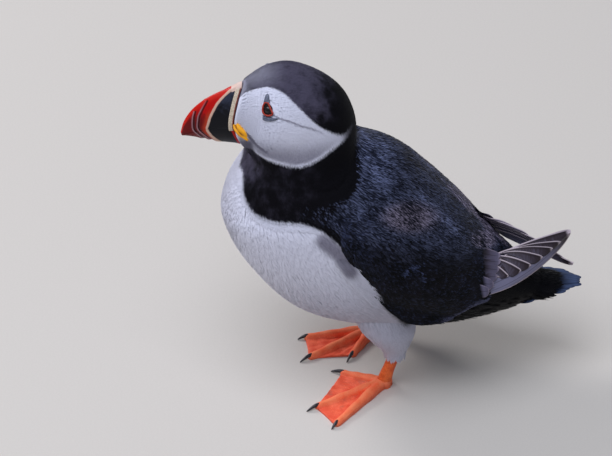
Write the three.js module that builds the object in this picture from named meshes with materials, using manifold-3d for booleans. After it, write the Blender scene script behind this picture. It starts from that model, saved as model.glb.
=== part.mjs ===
// An Atlantic puffin in summer dress, standing still on its two webbed feet, as a life-size model in
// separate solids. Millimetres, +Z up; the bird faces -Y and +X is its left side. The whole is modelled
// about a point on the floor between its feet and then set on the centre of its own footprint.
import * as THREE from "three";
import { mergeVertices } from "three/addons/utils/BufferGeometryUtils.js";
import Module from "manifold-3d";

const wasm = await Module();
wasm.setup();

// ---------------------------------------------------------------------------------------------
// Driving dimensions
// ---------------------------------------------------------------------------------------------
const GAP = 0.3; // free space between neighbouring pieces
const FINENESS = 0.05; // detail smaller than this is smoothed away
const SHIFT = new THREE.Vector3(-5.3, -3.1, 0); // from the point between the feet to the box's centre

// The feathered body as a loft along the bird, bill base to tail. Each row is one section of it:
// top of the section [y, z], foot of it [y, z], half its width, how far up it is widest (0 to 1)
// and how square it is (2 is an ellipse).
const BODY = [
  { at: "bill base", top: [-72.6, 170.6], foot: [-73.4, 137.6], half: 7.4, level: 0.45, square: 2.3 },
  { at: "lores", top: [-66.0, 175.6], foot: [-68.3, 134.6], half: 12.4, level: 0.44, square: 2.2 },
  { at: "brow", top: [-56.5, 181.2], foot: [-65.8, 131.5], half: 19.2, level: 0.46, square: 2.2 },
  { at: "crown", top: [-43.0, 184.0], foot: [-64.5, 129.0], half: 23.5, level: 0.47, square: 2.25 },
  { at: "hind crown", top: [-27.8, 177.6], foot: [-65.5, 127.5], half: 25.2, level: 0.47, square: 2.25 },
  { at: "nape", top: [-16.8, 166.2], foot: [-67.5, 125.5], half: 25.8, level: 0.46, square: 2.2 },
  { at: "hind neck", top: [-11.0, 153.0], foot: [-70.5, 121.5], half: 27.6, level: 0.46, square: 2.15 },
  { at: "collar", top: [-9.0, 141.5], foot: [-74.5, 115.5], half: 32.5, level: 0.46, square: 2.1 },
  { at: "mantle", top: [-1.5, 135.0], foot: [-78.0, 106.5], half: 38.0, level: 0.48, square: 2.1 },
  { at: "shoulder", top: [14.0, 125.0], foot: [-78.8, 94.2], half: 44.0, level: 0.5, square: 2.1 },
  { at: "breast", top: [30.0, 110.5], foot: [-67.6, 70.8], half: 46.0, level: 0.52, square: 2.1 },
  { at: "belly", top: [46.0, 94.0], foot: [-43.0, 44.5], half: 44.0, level: 0.54, square: 2.1 },
  { at: "vent", top: [58.0, 79.5], foot: [-4.0, 34.0], half: 37.0, level: 0.55, square: 2.1 },
  { at: "rump", top: [68.0, 68.0], foot: [35.0, 34.8], half: 28.0, level: 0.57, square: 2.1 },
  { at: "tail root", top: [76.0, 60.0], foot: [61.0, 38.8], half: 19.5, level: 0.6, square: 2.1 },
  { at: "tail coverts", top: [85.0, 54.0], foot: [74.0, 42.5], half: 12.0, level: 0.6, square: 2.1 },
];
const [HEAD_END, NECK_END, TRUNK_END] = [6.3, 8.4, 12.9]; // where it is parted, counted in rows

// The bill in the same way, from its base to its tip.
const BILL = [
  { at: "base", top: [-68.4, 173.4], foot: [-69.4, 136.6], half: 7.6, level: 0.38, square: 1.9 },
  { at: "front of cere", top: [-71.8, 171.9], foot: [-72.0, 137.2], half: 7.2, level: 0.38, square: 1.9 },
  { at: "slate", top: [-76.5, 169.5], foot: [-76.0, 137.6], half: 6.7, level: 0.38, square: 1.85 },
  { at: "first ridge", top: [-83.0, 166.1], foot: [-82.0, 138.3], half: 5.8, level: 0.38, square: 1.8 },
  { at: "second ridge", top: [-89.0, 161.9], foot: [-87.5, 139.3], half: 4.7, level: 0.38, square: 1.8 },
  { at: "hook", top: [-94.4, 156.3], foot: [-92.5, 140.5], half: 3.5, level: 0.38, square: 1.8 },
  { at: "nail", top: [-98.2, 149.6], foot: [-96.5, 141.1], half: 2.3, level: 0.38, square: 1.8 },
  { at: "tip", top: [-99.8, 143.4], foot: [-99.0, 141.2], half: 1.0, level: 0.4, square: 2 },
];
const GAPE = [[-101.0, 141.6], [-94.0, 144.9], [-87.0, 148.0], [-80.0, 149.7], [-66.0, 150.4]]; // [y, z]
const FACE_EDGE = [ // where face meets bill, over the forehead to under the chin, [y, z]
  [-58, 198], [-65, 181], [-68.6, 172], [-71.2, 163], [-72.8, 153], [-71.6, 145], [-68.2, 135.4], [-76, 128], [-100, 104],
];
const CERE_DEPTH = 2.3; // the cream rim at the bill's base, along the bill
const CERE_RISE = 0.7; // and how far it stands proud of the bill
const ROSETTE = { at: [10.6, -68.9, 150.6], size: [2.2, 5.4, 2.7], droop: 0.62, splay: 0.5 };
const EYE = { at: [14.4, -55.3, 167.8], radius: 4.3 };

// The folded wings. Rails are [x, y, z] for the left one, shoulder to tip: the upper rail is the edge
// that lies along the back, the lower one is the leading edge. The left wing tip crosses over the right.
const WING_FRONT = {
  upper: [[31, -20, 118], [30, -6, 118], [27.5, 8, 114.5], [24, 22, 106.5], [19, 37, 96]],
  lower: [[45, -19, 105], [47, -8, 86.5], [46.5, 5, 67.5], [43, 19, 54.5], [36, 37, 51.8]],
};
const LEFT_BLADE = {
  upper: [[14, 50, 86], [9.5, 62, 76], [4.5, 75, 77.5], [-1.5, 88, 78.5], [-8.0, 98.8, 76.6]],
  lower: [[29, 50, 58.5], [23, 64, 60.5], [14, 77, 64.5], [4, 89, 69.5], [-7.4, 99.2, 75.4]],
};
const RIGHT_BLADE = {
  upper: [[14, 50, 87], [10.5, 62, 80], [6.5, 75, 75], [2, 88, 68.5], [-3.4, 100.8, 63.2]],
  lower: [[29, 50, 60], [23, 64, 61], [14, 78, 61], [6, 90, 61], [-2.6, 101.2, 61.8]],
};
const WING_LIFT = [1.1, 2.6]; // how far its upper edge and the rest stand proud of the flank
const WING_THICK = { front: 1.6, arm: 5.5, blade: 2.5 }; // its thickness along it
const HAND_PLANE = { upper: [62.5, 75.5], lower: [53.5, 59] }; // [y, z], where the long primaries begin

// The tail: half width, height of its middle and thickness, root to tip. It is skewed a little.
const TAIL = [
  { y: 60, half: 13, z: 44.6, thick: 5.0 },
  { y: 70, half: 17, z: 46.8, thick: 3.6 },
  { y: 80, half: 17, z: 48.2, thick: 2.4 },
  { y: 90, half: 13, z: 48.6, thick: 2.0 },
  { y: 99, half: 9.5, z: 48.0, thick: 1.7 },
  { y: 106, half: 4, z: 46.8, thick: 1.4 },
];
const TAIL_SKEW = -0.09; // sideways run of the tail for each unit of length
const TAIL_ARCH = 1.6; // how far its edges drop below its middle

// Legs. Rows run down the leg: centre [x, y, z] for the left one, half width across and fore-and-aft.
const THIGH = [
  { at: [23.0, 2.0, 50.0], wide: 11.0, long: 15.0 },
  { at: [24.0, 6.0, 38.0], wide: 10.5, long: 14.0 },
  { at: [24.4, 8.4, 30.0], wide: 7.8, long: 9.6 },
  { at: [24.6, 9.6, 23.4], wide: 4.4, long: 5.6 },
];
const TARSUS = [
  { at: [24.6, 9.9, 24.4], wide: 2.4, long: 3.9 },
  { at: [24.2, 8.6, 18.0], wide: 2.1, long: 3.2 },
  { at: [23.4, 6.2, 10.5], wide: 2.2, long: 3.3 },
  { at: [22.6, 4.3, 4.2], wide: 2.9, long: 3.9 },
];
const TARSUS_FOOT = 7.2; // height at which the lower leg is parted from the foot
const THIGH_FOOT = 23.8; // and from the feathered thigh

// Feet. Each toe: how far it is turned from straight ahead towards the bird's left, in degrees, its
// length to the claw and the claw's length.
const HEEL = { left: [22.4, 3.6], right: [-24.6, -1.6] };
const TOES = {
  left: { inner: [-24, 22, 7], middle: [29, 38, 7], outer: [55, 39, 5] },
  right: { inner: [62, 22, 7], middle: [32, 38, 7], outer: [8, 36, 5] },
};
const TOE_RADIUS = [2.9, 1.7]; // at the heel and at the claw
const WEB_THICK = 1.1;
const CLAW_RADIUS = 1.45;
const CLAW_CLEAR = 0.1; // the claws are just clear of the floor

// ---------------------------------------------------------------------------------------------
// Materials
// ---------------------------------------------------------------------------------------------
const matt = (color, roughness) => new THREE.MeshStandardMaterial({ color, roughness, metalness: 0 });
const BLACK_PLUMAGE = matt(0x17181f, 0.6);
const WHITE_PLUMAGE = matt(0xdcdde8, 0.8);
const FLIGHT_FEATHER = matt(0x4a424a, 0.5);
const BILL_RED = matt(0xc4220c, 0.35);
const CERE_CREAM = matt(0xbfae94, 0.55);
const ROSETTE_ORANGE = matt(0xe89a0c, 0.5);
const EYE_DARK = matt(0x120c0a, 0.05);
const LEG_ORANGE = matt(0xd2500f, 0.5);
const WEB_ORANGE = matt(0xe25228, 0.5);
const CLAW_HORN = matt(0x1d1a1b, 0.35);

// ---------------------------------------------------------------------------------------------
// Shape helpers
// ---------------------------------------------------------------------------------------------
const power = (value, exponent) => Math.sign(value) * Math.abs(value) ** exponent;
const mix = (a, b, f) => a + (b - a) * f;

// A smooth curve (Catmull-Rom) through rows of numbers, read at t from 0 to rows.length - 1.
function along(rows, t) {
  const i = Math.min(Math.max(Math.floor(t), 0), rows.length - 2);
  const f = t - i;
  const [b, c] = [rows[i], rows[i + 1]];
  const a = rows[i - 1] ?? b.map((v, k) => 2 * v - c[k]);
  const d = rows[i + 2] ?? c.map((v, k) => 2 * v - b[k]);
  return b.map((v, k) => {
    const slope = c[k] - a[k];
    const bend = 2 * a[k] - 5 * v + 4 * c[k] - d[k];
    const twist = 3 * (v - c[k]) + d[k] - a[k];
    return v + 0.5 * f * (slope + f * (bend + f * twist));
  });
}

// A closed skin over rings of points, ring(t, angle) with t from 0 to 1 and a full turn of angle:
// a sphere whose rows of vertices are moved on to the rings, with its poles in the two end caps.
function loft(ring, rows, columns) {
  const geometry = new THREE.SphereGeometry(1, columns, rows + 1);
  const position = geometry.attributes.position;
  for (let row = 0, n = 0; row <= rows + 1; row++) {
    const t = Math.min(Math.max((row - 1) / (rows - 1), 0), 1);
    const isCap = row === 0 || row === rows + 1;
    for (let column = 0; column <= columns; column++, n++) {
      const point = isCap
        ? ring(t, 0).add(ring(t, Math.PI)).multiplyScalar(0.5)
        : ring(t, ((column % columns) / columns) * 2 * Math.PI);
      position.setXYZ(n, point.x, point.y, point.z);
    }
  }
  return solid(geometry);
}

// A closed three.js geometry as a manifold solid with its faces outwards.
function solid(geometry) {
  const bare = geometry.index ? geometry : mergeVertices(geometry);
  const merged = mergeVertices(bare.clone().deleteAttribute("uv").deleteAttribute("normal"), 1e-3);
  const vertProperties = merged.attributes.position.array;
  const triVerts = new Uint32Array(merged.index.array).filter((v, i, all) => {
    const [a, b, c] = all.subarray(i - (i % 3), i - (i % 3) + 3);
    return a !== b && b !== c && c !== a;
  });
  const made = new wasm.Manifold(new wasm.Mesh({ numProp: 3, vertProperties, triVerts }));
  if (made.volume() > 0) return made;
  return new wasm.Manifold(new wasm.Mesh({ numProp: 3, vertProperties, triVerts: triVerts.reverse() }));
}

// The biggest of the separate bodies that a cut has left.
function biggest(body) {
  return body.decompose().reduce((best, other) => (other.volume() > best.volume() ? other : best));
}

// A manifold solid as a three.js geometry.
function surfaceOf(body) {
  const { vertProperties, triVerts, numProp, numVert } = body.getMesh();
  const position = new Float32Array(numVert * 3);
  for (let i = 0; i < numVert; i++) {
    position.set(vertProperties.subarray(i * numProp, i * numProp + 3), i * 3);
  }
  const geometry = new THREE.BufferGeometry();
  geometry.setAttribute("position", new THREE.BufferAttribute(position, 3));
  geometry.setIndex(new THREE.BufferAttribute(triVerts, 1));
  geometry.computeVertexNormals();
  return geometry;
}

// The same solid swollen all round, such as to cut room for it in its neighbours.
function swollen(body, by) {
  const geometry = surfaceOf(body);
  const { position, normal } = geometry.attributes;
  for (let i = 0; i < position.array.length; i++) position.array[i] += normal.array[i] * by;
  return solid(geometry);
}
const roomFor = (body) => swollen(body, GAP * 1.3);

const root = new THREE.Group();
root.name = "puffin";
root.position.copy(SHIFT);

// Adds a manifold solid to the bird as a named mesh.
function add(name, body, material) {
  const mesh = new THREE.Mesh(surfaceOf(biggest(body).simplify(FINENESS)), material);
  mesh.name = name;
  root.add(mesh);
}

const mirrored = (body) => body.mirror([1, 0, 0]);

// ---------------------------------------------------------------------------------------------
// Sections: the body and the bill are read the same way
// ---------------------------------------------------------------------------------------------
const numbers = (sections) => sections.map((s) => [...s.top, ...s.foot, s.half, s.level, s.square]);
const bodyRows = numbers(BODY);
const billRows = numbers(BILL);

// A point on a section: angle turns from its top over the left side.
function sectionPoint(rows, row, angle) {
  const [topY, topZ, footY, footZ, half, level, square] = along(rows, row);
  const top = new THREE.Vector3(0, topY, topZ);
  const foot = new THREE.Vector3(0, footY, footZ);
  const widest = foot.clone().lerp(top, level);
  const end = Math.cos(angle) > 0 ? top : foot;
  const rise = end.clone().sub(widest);
  const point = widest.addScaledVector(rise, Math.abs(Math.cos(angle)) ** (2 / square));
  point.x = half * power(Math.sin(angle), 2 / square);
  return point;
}

// The plane of a section, its normal pointing to the rows that follow.
function sectionPlane(rows, row) {
  const [topY, topZ, footY, footZ] = along(rows, row);
  const tailwards = rows === bodyRows ? 1 : -1;
  const normal = new THREE.Vector3(0, topZ - footZ, footY - topY).setLength(tailwards);
  return { normal: normal.toArray(), offset: normal.y * topY + normal.z * topZ };
}

// What lies beyond a plane, or short of it, by half a gap.
const beyond = (body, { normal, offset }, more = 0) => body.trimByPlane(normal, offset + GAP / 2 + more);
const shortOf = (body, { normal, offset }, more = 0) =>
  body.trimByPlane(normal.map((v) => -v), -offset + GAP / 2 - more);

// How far the body's side stands out at a point [y, z] of its side view.
function flankWidth(y, z) {
  let [low, high] = [0, BODY.length - 1];
  for (let step = 0; step < 20; step++) {
    const row = (low + high) / 2;
    const { normal, offset } = sectionPlane(bodyRows, row);
    if (normal[1] * y + normal[2] * z > offset) low = row;
    else high = row;
  }
  const [topY, topZ, footY, footZ, half, level, square] = along(bodyRows, low);
  const [runY, runZ] = [topY - footY, topZ - footZ];
  const height = ((y - footY) * runY + (z - footZ) * runZ) / (runY ** 2 + runZ ** 2);
  const reach = height > level ? (height - level) / (1 - level) : (level - height) / level;
  return reach < 1 ? half * (1 - reach ** square) ** (1 / square) : -Infinity;
}

const wholeBody = loft((t, a) => sectionPoint(bodyRows, t * (BODY.length - 1), a), 36, 30);
const bodyRoom = roomFor(wholeBody);

// ---------------------------------------------------------------------------------------------
// Wings: a thick blade that lies on the flank and runs out free over the tail
// ---------------------------------------------------------------------------------------------
function wing(blade) {
  const upper = [...WING_FRONT.upper, ...blade.upper];
  const lower = [...WING_FRONT.lower, ...blade.lower];
  const thickness = [WING_THICK.front, ...Array(4).fill(WING_THICK.arm), 4, ...Array(4).fill(WING_THICK.blade)];
  const steps = upper.length - 1;
  const ring = (t, angle) => {
    const across = (1 - Math.cos(angle)) / 2; // 0 at the upper edge, 1 at the lower
    const [above, below] = [along(upper, t * steps), along(lower, t * steps)];
    const [x, y, z] = above.map((v, k) => mix(v, below[k], across));
    const [thick] = along(thickness.map((v) => [v]), t * steps);
    const lift = Math.min(0.5 + t * 6, 1) * mix(...WING_LIFT, Math.min(across * 1.6, 1));
    const camber = 2 * Math.sin(Math.PI * across);
    const outer = Math.max(flankWidth(y, z) + lift, x + camber);
    const side = Math.min(Math.max(Math.sin(angle) * 2.2, -1), 1);
    return new THREE.Vector3(outer - (thick / 2) * (1 - side), y, z);
  };
  return loft(ring, 25, 14);
}

const handNormal = new THREE.Vector3(
  0, HAND_PLANE.upper[1] - HAND_PLANE.lower[1], HAND_PLANE.lower[0] - HAND_PLANE.upper[0],
).normalize();
const handPlane = {
  normal: handNormal.toArray(),
  offset: handNormal.y * HAND_PLANE.upper[0] + handNormal.z * HAND_PLANE.upper[1],
};
const leftWing = wing(LEFT_BLADE);
const rightWing = mirrored(wing(RIGHT_BLADE));
for (const [side, whole] of [["left", leftWing], ["right", rightWing]]) {
  const clear = whole.subtract(bodyRoom);
  add(`wing_${side}`, shortOf(clear, handPlane), BLACK_PLUMAGE);
  add(`primaries_${side}`, beyond(clear, handPlane), FLIGHT_FEATHER);
}

// ---------------------------------------------------------------------------------------------
// Tail: a flat fan of short feathers, a little arched
// ---------------------------------------------------------------------------------------------
function tail() {
  const rows = TAIL.map((s) => [s.y, s.half, s.z, s.thick]);
  const ring = (t, angle) => {
    const [y, half, z, thick] = along(rows, t * (rows.length - 1));
    const side = Math.sin(angle);
    return new THREE.Vector3(
      (y - TAIL[0].y) * TAIL_SKEW + half * side,
      y,
      z - TAIL_ARCH * side ** 2 + (thick / 2) * power(Math.cos(angle), 0.8),
    );
  };
  return loft(ring, 12, 14);
}
add("tail", tail(), BLACK_PLUMAGE);

// ---------------------------------------------------------------------------------------------
// Legs and feet
// ---------------------------------------------------------------------------------------------
function limb(sections) {
  const rows = sections.map((s) => [...s.at, s.wide, s.long]);
  const ring = (t, angle) => {
    const [x, y, z, wide, long] = along(rows, t * (rows.length - 1));
    return new THREE.Vector3(x + wide * Math.sin(angle), y - long * Math.cos(angle), z);
  };
  return loft(ring, 7, 12);
}

const RIGHT_LEG = [HEEL.left[0] + HEEL.right[0], HEEL.right[1] - HEEL.left[1], 0];
const level = (z) => ({ normal: [0, 0, 1], offset: z });
const floorUp = (body) => body.trimByPlane([0, 0, 1], 0);

// A toe or claw: a round tapering spindle from start to end on the floor, at its own height over it.
function spindle(start, end, radii, heights) {
  const run = new THREE.Vector2().subVectors(end, start);
  const across = new THREE.Vector2(-run.y, run.x).normalize();
  const ring = (t, angle) => {
    const radius = mix(...radii, t);
    const height = mix(...heights, t) + Math.sin(Math.PI * t) * (heights[0] - heights[1]) * 0.3;
    const side = across.clone().multiplyScalar(radius * Math.sin(angle));
    const place = start.clone().addScaledVector(run, t).add(side);
    return new THREE.Vector3(place.x, place.y, height + radius * Math.cos(angle));
  };
  return loft(ring, 6, 8);
}

function foot(side) {
  const heel = new THREE.Vector2(...HEEL[side]);
  const heading = (degrees) => {
    const turn = THREE.MathUtils.degToRad(degrees);
    return new THREE.Vector2(Math.sin(turn), -Math.cos(turn));
  };
  const tips = Object.values(TOES[side]).map(([turn, length]) => heel.clone().addScaledVector(heading(turn), length));
  const [inner, middle, outer] = tips;

  // The web's free edges sag a little between the toes.
  const sag = (a, b) => a.clone().lerp(b, 0.5).lerp(heel, 0.06);
  const web = new THREE.Shape();
  web.moveTo(heel.x, heel.y);
  web.lineTo(inner.x, inner.y);
  web.quadraticCurveTo(...sag(inner, middle).toArray(), middle.x, middle.y);
  web.quadraticCurveTo(...sag(middle, outer).toArray(), outer.x, outer.y);
  const plate = new THREE.ExtrudeGeometry(web, { depth: WEB_THICK, bevelEnabled: false, curveSegments: 6 });

  const toes = tips.map((tip) => spindle(heel, tip, TOE_RADIUS, [TOE_RADIUS[0] * 0.8, TOE_RADIUS[1] * 0.75]));
  const shank = side === "left" ? limb(TARSUS) : mirrored(limb(TARSUS)).translate(RIGHT_LEG);
  const stump = shortOf(shank, level(TARSUS_FOOT));
  const knuckle = spindle(
    heel.clone().add(new THREE.Vector2(0, 3.2)), heel.clone().add(new THREE.Vector2(0, -4)),
    [2.6, 3.4], [2.2, 2.6],
  );
  let joined = toes.reduce((all, toe) => all.add(toe), solid(plate).add(knuckle).add(stump));
  add(`tarsus_${side}`, shortOf(beyond(shank, level(TARSUS_FOOT)), level(THIGH_FOOT)), LEG_ORANGE);

  for (const [toe, [turn, length, claw]] of Object.entries(TOES[side])) {
    const start = heel.clone().addScaledVector(heading(turn), length + GAP);
    const end = start.clone().addScaledVector(heading(turn), claw);
    const horn = spindle(start, end, [CLAW_RADIUS, 0.35], [TOE_RADIUS[1] * 0.75, 0.6]);
    add(`claw_${toe}_${side}`, horn.trimByPlane([0, 0, 1], CLAW_CLEAR), CLAW_HORN);
    joined = joined.subtract(roomFor(horn));
  }
  add(`foot_${side}`, floorUp(joined), WEB_ORANGE);
}
foot("left");
foot("right");

const thigh = beyond(limb(THIGH), level(THIGH_FOOT));
add("thigh_left", thigh.subtract(bodyRoom), WHITE_PLUMAGE);
add("thigh_right", mirrored(thigh).translate(RIGHT_LEG).subtract(bodyRoom), WHITE_PLUMAGE);

// ---------------------------------------------------------------------------------------------
// Bill: two mandibles, parted along the gape, and the rim at their base
// ---------------------------------------------------------------------------------------------
const bill = loft((t, a) => sectionPoint(billRows, t * (BILL.length - 1), a), 17, 14);

// A block across the head that holds all that lies on one side of a line of its side view: away is
// the way [y, z] that the block runs from the line, and inset is how far it stays back from it.
const CUT_REACH = 120;
function blockBeside(line, away, inset) {
  const count = 4 * (line.length - 1);
  const edge = Array.from({ length: count + 1 }, (_, i) => along(line, i / 4));
  const shifted = (points, by) => points.map(([y, z]) => new THREE.Vector2(y + away[0] * by, z + away[1] * by));
  const corners = shifted([edge.at(-1), edge[0]], CUT_REACH);
  const outline = new THREE.Shape([...shifted(edge, inset), ...corners]);
  const block = new THREE.ExtrudeGeometry(outline, { depth: CUT_REACH, bevelEnabled: false });
  block.translate(0, 0, -CUT_REACH / 2);
  const stand = new THREE.Matrix4().makeBasis(
    new THREE.Vector3(0, 1, 0), new THREE.Vector3(0, 0, 1), new THREE.Vector3(1, 0, 0),
  );
  return solid(block.applyMatrix4(stand));
}

const aboveGape = blockBeside(GAPE, [0, 1], GAP / 2);
const belowGape = blockBeside(GAPE, [0, -1], GAP / 2);
const [FORWARD, BACK] = [[-1, 0], [1, 0]];
const ofBill = bill.intersect(blockBeside(FACE_EDGE, FORWARD, GAP / 2));
const rosettes = rosette();
const rosetteRoom = roomFor(rosettes);
const rim = swollen(bill, CERE_RISE)
  .intersect(blockBeside(FACE_EDGE, FORWARD, GAP / 2))
  .subtract(blockBeside(FACE_EDGE, FORWARD, CERE_DEPTH));
const upperBill = ofBill.intersect(blockBeside(FACE_EDGE, FORWARD, CERE_DEPTH + GAP));
add("bill_upper", upperBill.intersect(aboveGape), BILL_RED);
add("cere", rim.intersect(aboveGape).subtract(rosetteRoom), CERE_CREAM);
add("bill_lower", ofBill.intersect(belowGape).subtract(rosetteRoom), BILL_RED);

// The wrinkled orange skin at the corners of the mouth, one side mirrored from the other.
function rosette() {
  const geometry = new THREE.SphereGeometry(1, 10, 6);
  geometry.scale(...ROSETTE.size);
  geometry.rotateX(-ROSETTE.droop).rotateZ(-ROSETTE.splay).translate(...ROSETTE.at);
  const left = solid(geometry);
  return left.add(mirrored(left));
}

const eyeball = solid(new THREE.SphereGeometry(EYE.radius, 12, 8).translate(...EYE.at));
for (const [name, side] of [["left", 1], ["right", -1]]) {
  add(`rosette_${name}`, rosettes.trimByPlane([side, 0, 0], 1), ROSETTE_ORANGE);
  add(`eye_${name}`, side > 0 ? eyeball : mirrored(eyeball), EYE_DARK);
}
const eyeRoom = roomFor(eyeball).add(mirrored(roomFor(eyeball)));

// ---------------------------------------------------------------------------------------------
// Head, neck, trunk and rump: one loft, parted by thin cuts
// ---------------------------------------------------------------------------------------------
const stretch = (from, to) =>
  shortOf(beyond(wholeBody, sectionPlane(bodyRows, from)), sectionPlane(bodyRows, to));

const face = wholeBody.intersect(blockBeside(FACE_EDGE, BACK, GAP / 2));
const head = shortOf(face, sectionPlane(bodyRows, HEAD_END)).subtract(eyeRoom).subtract(rosetteRoom);
add("head", head, BLACK_PLUMAGE);
add("neck", stretch(HEAD_END, NECK_END), BLACK_PLUMAGE);
add("trunk", stretch(NECK_END, TRUNK_END), WHITE_PLUMAGE);
const rump = beyond(wholeBody, sectionPlane(bodyRows, TRUNK_END));
add("rump", rump.subtract(roomFor(tail())), BLACK_PLUMAGE);

export default root;
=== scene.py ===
import math

import bpy
import numpy as np
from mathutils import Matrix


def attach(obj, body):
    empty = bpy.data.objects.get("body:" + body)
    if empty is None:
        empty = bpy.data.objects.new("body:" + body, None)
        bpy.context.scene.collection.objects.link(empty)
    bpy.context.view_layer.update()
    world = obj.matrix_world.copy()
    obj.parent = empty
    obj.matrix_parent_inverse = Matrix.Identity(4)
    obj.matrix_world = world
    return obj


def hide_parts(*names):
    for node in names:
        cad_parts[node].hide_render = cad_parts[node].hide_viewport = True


# An Atlantic puffin in summer dress, life size and standing still, as a museum model: one skin under
# a coat of solid feathers, with folded wings, a short tail, a horn bill and webbed orange feet.
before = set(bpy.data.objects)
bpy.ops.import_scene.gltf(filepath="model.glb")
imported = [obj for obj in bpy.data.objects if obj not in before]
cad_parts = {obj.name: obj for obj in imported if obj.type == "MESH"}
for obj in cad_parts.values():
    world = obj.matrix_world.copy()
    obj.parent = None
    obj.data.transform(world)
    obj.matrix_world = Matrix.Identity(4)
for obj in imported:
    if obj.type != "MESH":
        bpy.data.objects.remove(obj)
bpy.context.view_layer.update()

# ---------------------------------------------------------------------------------------------
# The room: a pale floor under soft light, and a camera that looks down on the bird's left side
# ---------------------------------------------------------------------------------------------
# Sizes of the bird are in millimetres about the point on the floor between its feet; it faces -Y
# and +X is its left. in_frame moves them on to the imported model's frame.
MM = 0.001
SHIFT = np.array((-5.3, -3.1, 0.0))


def in_frame(points):
    """Millimetres about the point between the feet, moved on to the frame and made metres."""
    return (np.asarray(points, float) + SHIFT) * MM


LOOK_DOWN = math.radians(35.0)
CAMERA_AWAY = 6000.0
FIELD_WIDTH = 313.85
AIM = np.array((0.0, -35.9, 83.3))
SENSOR = 36.0

camera_data = bpy.data.cameras.new("camera")
camera_data.sensor_width = SENSOR
camera_data.lens = SENSOR * CAMERA_AWAY / FIELD_WIDTH
camera_data.clip_end = 50.0
camera = bpy.data.objects.new("camera", camera_data)
bpy.context.collection.objects.link(camera)
camera.location = in_frame(AIM + CAMERA_AWAY * np.array((math.cos(LOOK_DOWN), 0.0, math.sin(LOOK_DOWN))))
camera.rotation_euler = (math.pi / 2 - LOOK_DOWN, 0.0, math.pi / 2)
bpy.context.scene.camera = camera
bpy.context.scene.view_settings.view_transform = "Standard"


def soft_box(name, place, size, power, colour):
    """A square area light of that size in metres, at place in metres, that faces the bird."""
    light = bpy.data.lights.new(name, "AREA")
    light.shape = "SQUARE"
    light.size = size
    light.energy = power
    light.color = colour
    lamp = bpy.data.objects.new(name, light)
    bpy.context.collection.objects.link(lamp)
    lamp.location = place
    away = np.asarray(place) - in_frame(AIM)
    yaw = math.atan2(away[1], away[0])
    pitch = math.atan2(math.hypot(away[0], away[1]), away[2])
    lamp.rotation_euler = (0.0, pitch, yaw)


soft_box("key_light", (-1.15, -1.35, 1.35), 0.7, 20.0, (0.98, 0.97, 1.0))
soft_box("sky_light", (0.75, -0.5, 2.3), 2.0, 50.0, (0.86, 0.9, 1.0))

world = bpy.data.worlds.new("studio")
world.use_nodes = True
world.node_tree.nodes["Background"].inputs["Color"].default_value = (0.8, 0.86, 1.0, 1.0)
world.node_tree.nodes["Background"].inputs["Strength"].default_value = 0.3
bpy.context.scene.world = world


class Wire:
    """A socket of a material's nodes: arithmetic on it adds Math nodes, and node() any other."""

    def __init__(self, socket):
        self.socket = socket

    def node(self, kind, settings, sockets, output=0):
        """A node of that kind: its settings are set first, then its sockets' values or links."""
        tree = self.socket.id_data
        made = tree.nodes.new(kind)
        for name, value in settings.items():
            if name == "stops":
                for stop, (position, colour) in zip(ramp_stops(made.color_ramp, len(value)), value):
                    stop.position = position
                    stop.color = colour
            else:
                setattr(made, name, value)
        for name, value in sockets.items():
            if isinstance(value, Wire):
                tree.links.new(value.socket, made.inputs[name])
            else:
                made.inputs[name].default_value = value
        return Wire(made.outputs[output])

    def maths(self, operation, *terms):
        return self.node("ShaderNodeMath", {"operation": operation}, dict(enumerate(terms)))

    def __add__(self, other):
        return self.maths("ADD", self, other)

    def __sub__(self, other):
        return self.maths("SUBTRACT", self, other)

    def __mul__(self, other):
        return self.maths("MULTIPLY", self, other)

    def __rsub__(self, other):
        return self.maths("SUBTRACT", other, self)

    __radd__ = __add__
    __rmul__ = __mul__

    def least(self, other):
        return self.maths("MINIMUM", self, other)

    def most(self, other):
        return self.maths("MAXIMUM", self, other)

    def rise(self, low, high):
        """0 where the value is at low, 1 where it is at high, with a smooth step between."""
        ends = {"From Min": low, "From Max": high, "Value": self}
        return self.node("ShaderNodeMapRange", {"interpolation_type": "SMOOTHSTEP"}, ends)

    def mix(self, none, full):
        """The colour none where the value is 0, full where it is 1."""
        return self.node("ShaderNodeMix", {"data_type": "RGBA"}, {0: self, 6: none, 7: full}, 2)

    def part(self, axis):
        """One of the three numbers of a vector."""
        return self.node("ShaderNodeSeparateXYZ", {}, {0: self}, axis)

    def noise(self, scale, detail=2.0, stretch=(1.0, 1.0, 1.0)):
        """Soft noise from 0 to 1 on a vector, which is stretched first."""
        spread = self.node("ShaderNodeVectorMath", {"operation": "MULTIPLY"}, {0: self, 1: stretch})
        return self.node("ShaderNodeTexNoise", {}, {"Vector": spread, "Scale": scale, "Detail": detail})


def ramp_stops(ramp, count):
    """The stops of a colour ramp, as many as asked for."""
    while len(ramp.elements) < count:
        ramp.elements.new(0.5)
    return ramp.elements


def finish(name, **fixed):
    """A new material: its shader's fixed sockets are set, and its shader and a Wire are given back."""
    made = bpy.data.materials.new(name)
    made.use_nodes = True
    shader = made.node_tree.nodes["Principled BSDF"]
    for socket, value in fixed.items():
        shader.inputs[socket.replace("_", " ")].default_value = value
    return made, shader, Wire(shader.outputs[0])


def attribute(wire, name, output=2):
    """An attribute of the mesh by its name: output 2 is its number, 1 its vector."""
    return wire.node("ShaderNodeAttribute", {"attribute_name": name}, {}, output)


def coordinates(wire):
    """Places on the object, in metres."""
    return wire.node("ShaderNodeTexCoord", {}, {}, 3)


def feed(shader, **sockets):
    """Joins what varies over the surface to the shader."""
    for name, value in sockets.items():
        shader.id_data.links.new(value.socket, shader.inputs[name.replace("_", " ")])


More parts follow.
